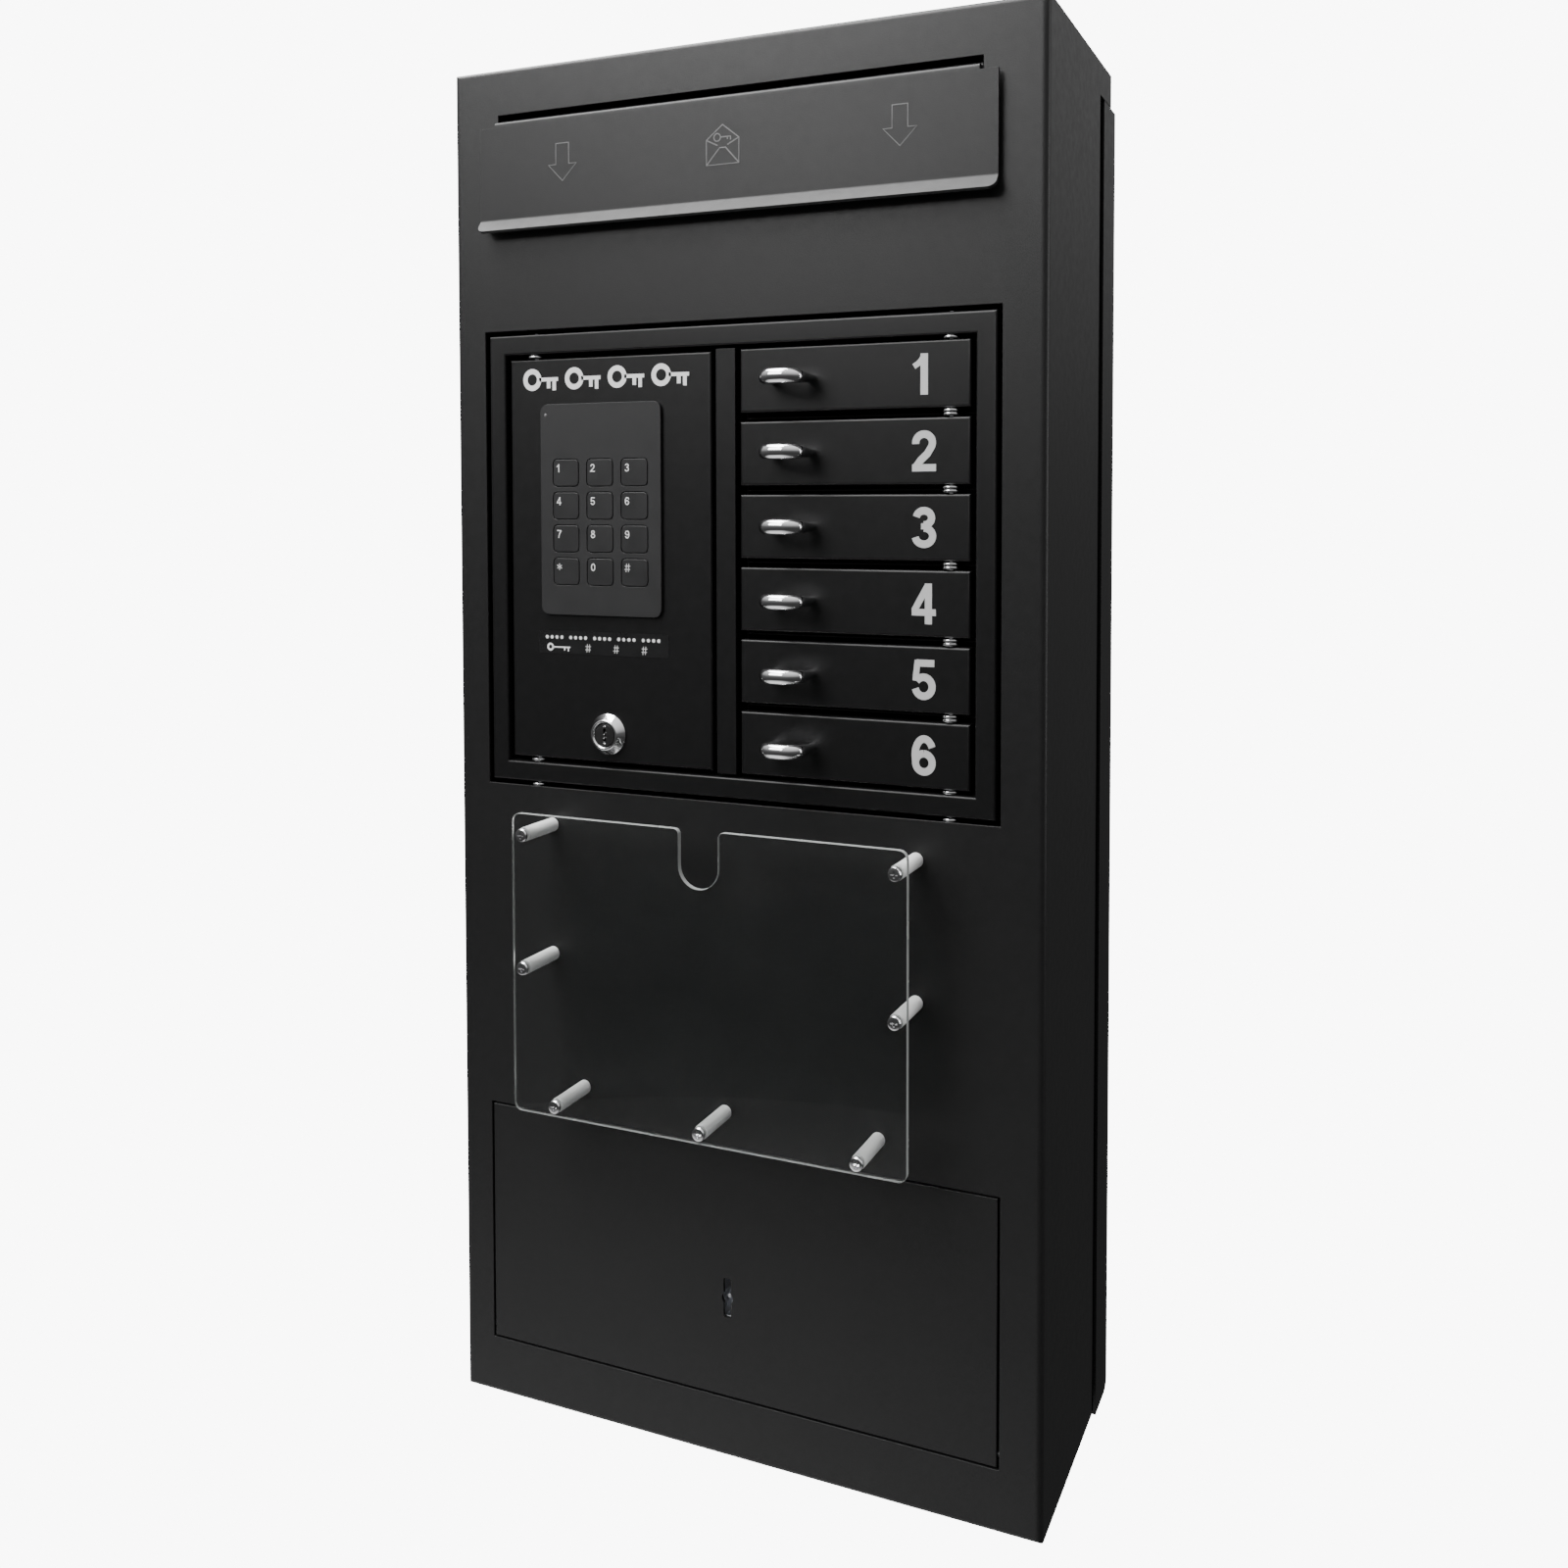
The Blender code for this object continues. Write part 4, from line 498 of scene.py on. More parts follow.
def makeFlap():
    rodLow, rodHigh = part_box("flap_rod")
    axis = (rodLow + rodHigh) / 2
    front = hoodLow.y - flap.standOff - flap.wall
    foot = axis.z - flap.height
    corners = [(0, axis.y - flap.barrel + flap.neckLap, axis.z), (0, front, axis.z),
               (0, front, axis.z - flap.shoulderDrop), (0, front, foot),
               (0, front - flap.lipOut, foot - flap.lipDrop)]
    profile = bentProfile(corners, flap.bend, 5)
    half = hood.inletWidth / 2 + flap.shoulder
    neckHalf = hood.inletWidth / 2 - flap.sideGap
    curve = [half - flap.corner * (1 - math.cos(math.radians(a))) for a in range(0, 91, flap.arcStep)]
    stations = sorted([-x for x in curve] + [-neckHalf, neckHalf] + curve)
    bm = bmesh.new()
    rail = [bm.verts.new((faceCentre + stations[0], p.y, p.z)) for p in profile]
    edges = [bm.edges.new(pair) for pair in zip(rail, rail[1:])]
    for here, ahead in zip(stations, stations[1:]):
        drawn = bmesh.ops.extrude_edge_only(bm, edges=edges)["geom"]
        edges = [edge for edge in edgesIn(drawn) if all(v in drawn for v in edge.verts)]
        bmesh.ops.translate(bm, verts=vertsIn(drawn), vec=(ahead - here, 0, 0))
    tip = profile[-1]
    upLip = (profile[-2] - tip).normalized()
    for vert in bm.verts:
        inset = half - abs(vert.co.x - faceCentre)
        if inset < flap.corner and abs(vert.co.z - tip.z) < tiny:
            rise = flap.corner - math.sqrt(max(0, flap.corner ** 2 - (flap.corner - inset) ** 2))
            vert.co += upLip * rise
    shoulderZ = axis.z - flap.shoulderDrop
    removeFaces(bm, lambda c: c.z > shoulderZ and abs(c.x - faceCentre) > neckHalf)
    facesOut(bm)
    faceOut = next(f for f in bm.faces if abs(f.normal.y) > 0.99)
    if faceOut.normal.y > 0:
        bmesh.ops.reverse_faces(bm, faces=bm.faces)
    bmesh.ops.solidify(bm, geom=bm.faces[:], thickness=flap.wall)
    turn = Matrix.Translation(axis) @ Matrix.Rotation(quarter, 4, "Y")
    bmesh.ops.create_cone(bm, cap_ends=True, segments=flap.barrelSides, radius1=flap.barrel,
                          radius2=flap.barrel, depth=2 * neckHalf, matrix=turn)
    finishPiece("flapPanel", bm, "hoodCoat", "flap", ["inlet_flap"], 0, flap.edge)


makeFlap()
print("flap done")

# key module: the case, its doors and the control door
moduleCase = Sizes(wall=0.0015, bend=0.0018, flange=0.0122, mouthReturn=0.0095, mouthBend=0.0013, slack=0.001,
    edge=0.0003)


def makeModuleCase():
    bm = bmesh.new()
    addBlock(bm, moduleLow, moduleHigh)
    roundEdges(bm, rimAt(bm, 1, moduleLow.y), moduleCase.bend, 4)
    front = facesWhere(bm, lambda c: abs(c.y - moduleLow.y) < tiny)
    bmesh.ops.inset_region(bm, faces=front, thickness=moduleCase.flange - moduleCase.bend,
                           use_even_offset=True)
    middle = (moduleLow + moduleHigh) / 2
    near = moduleCase.flange
    mouth = facesWhere(bm, lambda c: abs(c.y - moduleLow.y) < tiny and abs(c.x - middle.x) < near
                       and abs(c.z - middle.z) < near)
    pushed = bmesh.ops.extrude_face_region(bm, geom=mouth)["geom"]
    bmesh.ops.translate(bm, verts=vertsIn(pushed), vec=(0, moduleCase.mouthReturn, 0))
    caps = [part for part in pushed if isinstance(part, bmesh.types.BMFace)]
    bmesh.ops.delete(bm, geom=caps + [f for f in mouth if f.is_valid and f not in caps], context="FACES")
    inner = moduleCase.flange - moduleCase.slack
    fold = [e for e in rimAt(bm, 1, moduleLow.y)
            if all(moduleLow.x + inner < v.co.x < moduleHigh.x - inner
                   and moduleLow.z + inner < v.co.z < moduleHigh.z - inner for v in e.verts)]
    roundEdges(bm, fold, moduleCase.mouthBend, 4)
    finishPiece("moduleFrame", bm, "moduleCoat", "cabinet", ["module_case"],
                moduleCase.wall, moduleCase.edge)


doorSheet = Sizes(wall=0.0015, bend=0.0015, depth=0.008, edge=0.00025)


def foldedPanel(low, high, depth):
    # front face with returns on its four sides, open at the back
    bm = bmesh.new()
    addBlock(bm, low, (high.x, low.y + depth, high.z))
    roundEdges(bm, rimAt(bm, 1, low.y), doorSheet.bend, 4)
    removeFaces(bm, lambda c: c.y > low.y + depth - tiny)
    bmesh.ops.solidify(bm, geom=bm.faces[:], thickness=doorSheet.wall)
    return bm


def makeDoors():
    strike = Sizes(height=0.010, reach=0.013, lap=0.0008)
    for number in range(1, 7):
        low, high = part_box(f"door_{number}")
        bm = foldedPanel(low, high, doorSheet.depth)
        middle = (low.z + high.z) / 2
        back, half = low.y + doorSheet.depth, strike.height / 2
        addBlock(bm, (low.x, back - strike.lap, middle - half),
                 (low.x + doorSheet.wall, back + strike.reach, middle + half))
        finishPiece(f"doorPanel{number}", bm, "moduleCoat", f"compartment_door_{number}",
                    [f"door_{number}"], 0, doorSheet.edge)


def makeControlDoor():
    low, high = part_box("control_door")
    bm = foldedPanel(low, high, doorSheet.depth)
    finishPiece("controlPanel", bm, "moduleCoat", "keypad_door", ["control_door"],
                0, doorSheet.edge)


makeModuleCase()
makeDoors()
makeControlDoor()
print("key module done")


def tubeAlong(bm, path, radius, sides, swell=None):
    # a round bar swept along a level path, its height swelling as swell says
    rings = []
    for index, point in enumerate(path):
        before = path[max(0, index - 1)]
        after = path[min(len(path) - 1, index + 1)]
        turn = (after - before).normalized().to_track_quat("Z", "X").to_matrix().to_4x4()
        matrix = Matrix.Translation(point) @ turn
        if swell:
            rise = swell(index / (len(path) - 1))
            matrix = Matrix.Translation(point) @ Matrix.Scale(rise, 4, (0, 0, 1)) @ turn
        ring = bmesh.ops.create_circle(bm, segments=sides, radius=radius, cap_ends=False, matrix=matrix)["verts"]
        rings.append([e for v in ring for e in v.link_edges])
    for near, far in zip(rings, rings[1:]):
        bmesh.ops.bridge_loops(bm, edges=list(set(near + far)))
    for ring in (rings[0], rings[-1]):
        bmesh.ops.contextual_create(bm, geom=list(set(ring)))
    facesOut(bm)


# bow handles, cast bright: slim at the feet and full where the finger pulls
bow = Sizes(bar=0.0031, span=0.0235, inset=0.0340, reach=0.0195, corner=0.0096, sides=40, slim=0.80, full=1.42,
    sink=0.0002, cornerSteps=14, footSteps=6)


def makeHandles():
    for number in range(1, 7):
        low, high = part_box(f"door_{number}")
        x = low.x + bow.inset
        z = (low.z + high.z) / 2
        foot = low.y + bow.sink
        out = low.y - bow.reach
        left, right = x - bow.span / 2, x + bow.span / 2
        path = bentProfile([(left, foot, z), (left, out, z), (right, out, z), (right, foot, z)],
                           bow.corner, bow.cornerSteps)
        leg = [path[0].lerp(path[1], step / bow.footSteps) for step in range(1, bow.footSteps)]
        otherLeg = [Vector((2 * x - p.x, p.y, z)) for p in reversed(leg)]
        path = path[:1] + leg + path[1:-1] + otherLeg + path[-1:]
        bm = bmesh.new()
        tubeAlong(bm, path, bow.bar, bow.sides,
                  lambda part: bow.slim + (bow.full - bow.slim) * math.sin(math.pi * part))
        finishPiece(f"bowHandle{number}", bm, "brightChrome", f"compartment_door_{number}",
                    [f"door_handle_{number}"])


# hinge rods: washers in the gaps above, between and below the doors, a rivet head at the foot
rod = Sizes(radius=0.0015, washer=0.0055, washerTall=0.0015, washerGap=0.0005, head=0.0052, headTall=0.0014,
    past=0.0005, ease=0.0004)


def makeHingeRods():
    doorTop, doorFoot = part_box("door_1")[1].z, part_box("door_6")[0].z
    panelLow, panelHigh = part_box("control_door")
    mouthTop, mouthFoot = moduleHigh.z - moduleCase.flange, moduleLow.z + moduleCase.flange
    half = rod.washerTall / 2
    double = half + rod.washerGap / 2
    gaps = []
    for number in range(1, 6):
        middle = (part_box(f"door_{number}")[0].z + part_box(f"door_{number + 1}")[1].z) / 2
        gaps += [middle + double, middle - double]
    rightWashers = [(doorTop + mouthTop) / 2] + gaps + [(doorFoot + mouthFoot) / 2]
    leftWashers = [(panelHigh.z + mouthTop) / 2, (panelLow.z + mouthFoot) / 2]
    for side, washers in (("right", rightWashers), ("left", leftWashers)):
        low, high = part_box(f"hinge_rod_{side}")
        middle = (low + high) / 2
        shaft, ease = rod.radius, rod.ease
        discs = [(z + half, z - half, rod.washer, ease) for z in washers]
        discs.append((low.z + rod.headTall, low.z - rod.past, rod.head, ease * 2))
        profile = [(0, high.z), (shaft, high.z)]
        for top, foot, wide, soft in discs:
            cut = soft * 0.3
            profile += [(shaft, top), (wide - soft, top), (wide - cut, top - cut), (wide, top - soft),
                        (wide, foot + soft), (wide - cut, foot + cut), (wide - soft, foot), (shaft, foot)]
        profile = profile[:-1] + [(0, discs[-1][1])]
        bm = turnedPiece(profile, (middle.x, middle.y, 0), "Z", 32)
        finishPiece(f"hingeRod{side.capitalize()}", bm, "brightChrome", "cabinet",
                    [f"hinge_rod_{side}"])


makeHandles()
makeHingeRods()
print("handles and rods done")

# pieces that keep their shape and have their edges eased
eased = {
    "wallTray": ("wall_tray", "hoodCoat", "hood_coat", 0.0004),
    "lowerDoor": ("lower_door", "hoodCoat", "hood_coat", 0.0003),
    "keyRack": ("compartment_rack", "moduleCoat", "module_coat", 0.0002),
    "liner": ("inner_liner", "innerCoat", "inner_coat", 0.0003),
    "dropChute": ("drop_chute", "innerCoat", "inner_coat", 0.0003),
    "slotBaffle": ("inlet_baffle", "innerCoat", "inner_coat", 0.0003),
    "latchRail": ("latch_rail", "zincPlate", "zinc_steel", 0.0003),
    "lockNut": ("cam_lock_nut", "zincPlate", "zinc_steel", 0.0003),
    "lockCam": ("cam_lock_cam", "zincPlate", "zinc_steel", 0.0003),
    "lowerLockCase": ("lower_lock_case", "zincPlate", "zinc_steel", 0.0004),
    "lowerLockBolt": ("lower_lock_bolt", "zincPlate", "zinc_steel", 0.0004),
    "strikeBar": ("strike_bar", "zincPlate", "zinc_steel", 0.0003),
    "keypadPanel": ("keypad_body", "keypadFilm", "keypad_plate", 0.00025),
    "lockPlug": ("cam_lock_plug", "plugMetal", "lock_plug_metal", 0.0002),
}
for pieceName, (nodeName, look, slot, edge) in eased.items():
    finishPiece(pieceName, copyNode(nodeName), look, body_of(nodes[nodeName])[0],
                [nodeName], 0, edge)
keyNames = [name for name in nodes if name.startswith("key_")]
keyEdge = 0.0005
for nodeName in keyNames:
    finishPiece("padKey" + nodeName[4:].capitalize(), copyNode(nodeName), "keyFilm",
                body_of(nodes[nodeName])[0], [nodeName], 0, keyEdge)
print("eased pieces done")

# clear sheet: polished faces, and a cut rim painted pale grey and part opaque, a painted highlight for the light
# the edge gathers
clearPlate = Sizes(edge=0.00045, steps=2, mouthHalf=0.0140, mouthCorner=0.0034)


def makeClearSheet():
    bm = copyNode("info_plate")
    low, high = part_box("info_plate")
    facesOut(bm)
    mouthEdges = [e for e in rimAt(bm, 2, high.z) if abs(e.verts[0].co.x - e.verts[1].co.x) < tiny
                  and abs(e.verts[0].co.x - faceCentre) < clearPlate.mouthHalf]
    roundEdges(bm, mouthEdges, clearPlate.mouthCorner, 5)
    roundEdges(bm, rimAt(bm, 1, low.y) + rimAt(bm, 1, high.y), clearPlate.edge, clearPlate.steps)
    bm.normal_update()
    # the rim faces take the pale painted highlight, the two flat faces stay clear
    for face in bm.faces:
        face.material_index = 0 if abs(face.normal.y) > 0.99 else 1
    piece = finishPiece("clearSheet", bm, "clearSheet", "cabinet", ["info_plate"], level=True)
    piece.data.materials.append(finish["sheetRimPaintedHighlight"])


makeClearSheet()

# controller: base, lid with a seam, corner screws, a terminal strip and two lamps
board = Sizes(baseDeep=0.020, edge=0.0010, seam=0.0006, screwIn=0.0065, stripTall=0.011, stripUp=0.012,
    stripIn=0.006, stripBack=0.001, stripEdge=0.0005, endGap=0.002, ways=10, wayUp=0.62, ledge=0.003, lap=0.0008,
    lamp=0.0013, lampsIn=(0.020, 0.028), lampDrop=0.012)


def makeController():
    low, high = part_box("controller_unit")
    split = high.y - board.baseDeep
    lapped = split - board.lap
    inset, stripIn = board.seam, board.stripIn
    strip = low.z + board.stripUp
    stripTop = strip + board.stripTall
    ledge = stripTop + board.ledge
    bm = bmesh.new()
    addBlock(bm, (low.x, split, low.z), high)
    addBlock(bm, (low.x + inset, lapped, low.z + inset), (high.x - inset, split, high.z - inset))
    addBlock(bm, (low.x, low.y, ledge), (high.x, lapped, high.z))
    finishPiece("controllerCase", bm, "darkPlastic", "cabinet", ["controller_unit"],
                0, board.edge)
    bm = bmesh.new()
    face = low.y + board.stripBack
    addBlock(bm, (low.x + stripIn, face, strip), (high.x - stripIn, lapped, stripTop))
    finishPiece("terminalStrip", bm, "boardGreen", "cabinet", (), 0, board.stripEdge)
    bm = bmesh.new()
    first = low.x + stripIn + board.endGap
    pitch = (high.x - low.x - 2 * (stripIn + board.endGap)) / board.ways
    cap = [(0, 0.0006), (0.0019, 0.0006), (0.0019, -0.0001), (0.0016, -0.0004), (0, -0.0004)]
    for way in range(board.ways):
        x = first + pitch * (way + 0.5)
        addForm(bm, turnedPiece(cap, (x, face, strip + board.stripTall * board.wayUp), "Y", 18))
    for x, z in nearCorners(Vector((low.x, low.y, ledge)), high, board.screwIn):
        addForm(bm, makeScrewHead(x, low.y, z))
    finishPiece("controllerScrews", bm, "zincPlate", "cabinet")
    bm = bmesh.new()
    dome = [(0, -0.0012), (board.lamp * 0.75, -0.0009), (board.lamp, 0), (0, 0)]
    for along in board.lampsIn:
        addForm(bm, turnedPiece(dome, (low.x + along, low.y, high.z - board.lampDrop), "Y", 20))
    finishPiece("controllerLamps", bm, "whiteNylon", "cabinet")


# battery holder: open tray with four round cells
cell = Sizes(radius=0.0085, length=0.0475, nub=0.0026, nubLong=0.0014, wall=0.0016, rows=2, columns=2, sides=36,
    up=0.003, gap=0.0006, ease=0.0008, bare=0.0004, ribFront=0.004, ribEnd=0.001, edge=0.0005)


def makeBattery():
    low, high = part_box("battery_pack")
    bm = bmesh.new()
    addBlock(bm, low, high)
    removeFaces(bm, lambda c: c.y < low.y + tiny)
    facesOut(bm)
    bmesh.ops.solidify(bm, geom=bm.faces[:], thickness=cell.wall)
    middle, rib, end = (low + high) / 2, cell.wall / 2, cell.ribEnd
    addBlock(bm, (middle.x - rib, low.y + cell.ribFront, low.z + end),
             (middle.x + rib, high.y - end, high.z - end))
    finishPiece("batteryTray", bm, "darkPlastic", "cabinet", ["battery_pack"], 0, cell.edge)
    wraps, caps = bmesh.new(), bmesh.new()
    r, half, ease, tip = cell.radius, cell.length / 2, cell.ease, cell.length / 2 + cell.nubLong
    foot = cell.bare - half
    hollow = 0.0001
    body = easedBar(hollow, r, foot, half, ease) + [(hollow, foot)]
    for column in range(cell.columns):
        x = middle.x + (column - 0.5) * (high.x - low.x) / 2
        for row in range(cell.rows):
            spot = (x, low.y + r + cell.up, middle.z + (row - 0.5) * (2 * r + cell.gap))
            way = 1 if row else -1
            addForm(wraps, turnedPiece(body, spot, "X", cell.sides))
            nub = [(0, way * half), (cell.nub, way * half), (cell.nub, way * tip), (0, way * tip)]
            addForm(caps, turnedPiece(nub, spot, "X", 20))
    finishPiece("cellWraps", wraps, "cellWrap", "cabinet")
    finishPiece("cellCaps", caps, "zincPlate", "cabinet")


# lower lock: a riveted cover plate on the case
cover = Sizes(inset=0.0025, thick=0.0010, rivet=0.0022, rivetIn=0.0080, proud=0.0008, edge=0.0003)


def makeLockCover():
    low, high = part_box("lower_lock_case")
    bm = bmesh.new()
    inset = cover.inset
    face = high.y + cover.thick
    addBlock(bm, (low.x + inset, high.y, low.z + inset), (high.x - inset, face, high.z - inset))
    finishPiece("lockCover", bm, "zincPlate", "deposit_door", (), 0, cover.edge)
    bm = bmesh.new()
    head = [(0, cover.proud), (cover.rivet * 0.7, cover.proud * 0.8), (cover.rivet, 0), (0, 0)]
    for x, z in nearCorners(low, high, cover.rivetIn):
        addForm(bm, turnedPiece(head, (x, face, z), "Y", 24))
    finishPiece("coverRivets", bm, "brightChrome", "deposit_door")


# straight rods of the flap and the lower door
straightRod = Sizes(ease=0.0004, sides=28)
for rodName in ("flap_rod", "lower_hinge_rod"):
    low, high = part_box(rodName)
    middle = (low + high) / 2
    radius = (high.z - low.z) / 2
    bm = turnedPiece(easedBar(0, radius, low.x, high.x, straightRod.ease), (0, middle.y, middle.z), "X",
                     straightRod.sides)
    finishPiece(rodName.replace("_rod", "Rod").replace("_h", "H"), bm, "zincPlate", "cabinet",
                [rodName])

# stand-offs, turned from white nylon, with a pan head screw through each
spacer = Sizes(bore=0.0023, ease=0.0004, head=0.0041, dome=0.0016, rim=0.0007, flat=0.0029, recess=0.0011,
    arm=0.0021, slotHalf=0.00050, shank=0.0020, nut=0.0039, nutDeep=0.0032, tail=0.001, buried=0.0005)


def makeScrewHead(x, y, z):
    # domed head with a cross recess, seated on the sheet's face at y
    top = y - spacer.dome
    profile = [(spacer.shank, y), (spacer.head, y), (spacer.head, y - spacer.rim),
               (spacer.head * 0.94, y - spacer.rim * 1.5),
               (spacer.flat * 1.25, y - spacer.dome * 0.92), (spacer.flat, top)]
    head = turnedPiece(profile, (0, 0, 0), "Y", 40)
    arm, half = spacer.arm, spacer.slotHalf
    corners = [(half, arm), (half, half), (arm, half), (arm, -half), (half, -half), (half, -arm),
               (-half, -arm), (-half, -half), (-arm, -half), (-arm, half), (-half, half), (-half, arm)]
    cross = [head.verts.new((cx, top, cz)) for cx, cz in corners]
    crossEdges = [head.edges.new((a, b)) for a, b in zip(cross, cross[1:] + cross[:1])]
    rim = [e for e in head.edges if all(abs(v.co.y - top) < 1e-7 for v in e.verts) and e not in crossEdges]
    bmesh.ops.triangle_fill(head, edges=rim + crossEdges, use_beauty=True)
    inside = [f for f in head.faces if abs(f.calc_center_median().y - top) < 1e-7
              and all(v in cross for v in f.verts)
              and min(abs(f.calc_center_median().x), abs(f.calc_center_median().z)) < half]
    bmesh.ops.delete(head, geom=inside, context="FACES_ONLY")
    sunk = bmesh.ops.extrude_edge_only(head, edges=crossEdges)["geom"]
    low = vertsIn(sunk)
    bmesh.ops.translate(head, verts=low, vec=(0, spacer.recess, 0))
    floorEdges = [e for e in edgesIn(sunk) if all(v in low for v in e.verts)]
    bmesh.ops.triangle_fill(head, edges=floorEdges, use_beauty=True)
    facesOut(head)
    bmesh.ops.translate(head, verts=head.verts, vec=(x, 0, z))
    return head


def makeSpacers():
    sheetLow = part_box("info_plate")[0]
    for nodeName in sorted(name for name in nodes if name.startswith("standoff_")):
        number = nodeName[-1]
        low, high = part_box(nodeName)
        middle = (low + high) / 2
        outer = (high.z - low.z) / 2
        ease = spacer.ease
        profile = easedBar(spacer.bore, outer, low.y, high.y, ease) + [(spacer.bore, low.y)]
        bm = turnedPiece(profile, (middle.x, 0, middle.z), "Y", 48)
        finishPiece(f"spacer{number}", bm, "whiteNylon", "cabinet", [nodeName])
        bm = makeScrewHead(middle.x, sheetLow.y, middle.z)
        tail = high.y + hood.wall + spacer.nutDeep + spacer.tail
        start = sheetLow.y + spacer.buried
        shank = [(0, start), (spacer.shank, start), (spacer.shank, tail - ease),
                 (spacer.shank - ease, tail), (0, tail)]
        addForm(bm, turnedPiece(shank, (middle.x, 0, middle.z), "Y", 24))
        nutFront = hoodLow.y + hood.wall
        place = Matrix.Translation((middle.x, nutFront + spacer.nutDeep / 2, middle.z))
        bmesh.ops.create_cone(bm, cap_ends=True, segments=6, radius1=spacer.nut, radius2=spacer.nut,
                              depth=spacer.nutDeep, matrix=place @ Matrix.Rotation(quarter, 4, "X"))
        finishPiece(f"sheetScrew{number}", bm, "brightChrome", "cabinet")


makeSpacers()
makeController()
makeBattery()
makeLockCover()
print("spacers, screws and inner fittings done")

# cam lock: turned bezel round the plug, wafers in the keyway
lock = Sizes(flange=0.0125, rim=0.0008, nose=0.0092, lip=0.0083, bore=0.0070, ease=0.0003, thread=0.0090,
    wafer=0.0011, waferEdge=0.00015)


def makeLock():
    low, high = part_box("cam_lock_body")
    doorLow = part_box("control_door")[0]
    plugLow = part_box("cam_lock_plug")[0]
    centre = (low + high) / 2
    face = doorLow.y - 0.00005
    front = low.y
    ease = lock.ease
    profile = [(lock.thread, face), (lock.flange - ease, face), (lock.flange, face - ease),
               (lock.flange, face - lock.rim), (lock.flange - ease, face - lock.rim - ease),
               (lock.nose + ease, front + 0.0007), (lock.nose, front + 0.0002),
               (lock.nose - ease, front), (lock.lip - ease, front), (lock.lip - 2 * ease, front + ease),
               (lock.bore, front + 0.0013), (lock.bore, high.y - ease), (lock.bore + ease, high.y),
               (lock.thread - ease, high.y), (lock.thread, high.y - ease), (lock.thread, face)]
    bm = turnedPiece(profile, (centre.x, 0, centre.z), "Y", 72)
    finishPiece("lockBezel", bm, "brightChrome", "keypad_door", ["cam_lock_body"])
    bm = bmesh.new()
    for side, drop, tall in ((-1, 0.0003, 0.0017), (1, -0.0014, 0.0008), (1, 0.0014, 0.0008), (-1, 0.0021, 0.0006)):
        x = centre.x + side * 0.0007
        z = centre.z - drop
        addBlock(bm, (x - lock.wafer / 2, plugLow.y + 0.0002, z - tall / 2),
                 (x + lock.wafer / 2, plugLow.y + 0.0035, z + tall / 2))
    for z in (centre.z - 0.0052, centre.z + 0.0052):
        addBlock(bm, (centre.x - 0.0011, plugLow.y - 0.00005, z - 0.00035),
                 (centre.x + 0.0011, plugLow.y + 0.0010, z + 0.00035))
    finishPiece("lockWafers", bm, "brightChrome", "lock_plug", (), 0, lock.waferEdge)


makeLock()
print("lock done")


def arc(centreX, centreZ, wide, tall, start, end, steps=18):
    angles = [math.radians(start + (end - start) * step / steps) for step in range(steps + 1)]
    return [(centreX + wide * math.cos(a), centreZ + tall * math.sin(a)) for a in angles]


def addStroke(bm, points, half, y, thick):
    # a flat band along a route, widened evenly on both sides, its corners mitred
    places = [Vector(p) for p in points]
    band = []
    for index, place in enumerate(places):
        before = (place - places[index - 1]).normalized() if index else None
        after = (places[index + 1] - place).normalized() if index + 1 < len(places) else None
        along = ((before or after) + (after or before)).normalized()
        spread = half / max(0.5, along.dot(after or before))
        side = Vector((-along.y, along.x)) * spread
        ends = [(p.x, y, p.y) for p in (place + side, place - side)]
        if band:
            verts = vertsIn(bmesh.ops.extrude_edge_only(bm, edges=[edge])["geom"])
            verts.sort(key=lambda v: (v.co - band[-1][0].co).length)
            edge = bm.edges.get(verts)
            for vert, place in zip(verts, ends):
                vert.co = place
        else:
            verts = [bm.verts.new(place) for place in ends]
            edge = bm.edges.new(verts)
        band.append(verts)
    strip = [f for f in bm.faces if all(any(v in pair for pair in band) for v in f.verts)]
    top = bmesh.ops.extrude_face_region(bm, geom=strip)["geom"]
    bmesh.ops.translate(bm, verts=vertsIn(top), vec=(0, -thick, 0))


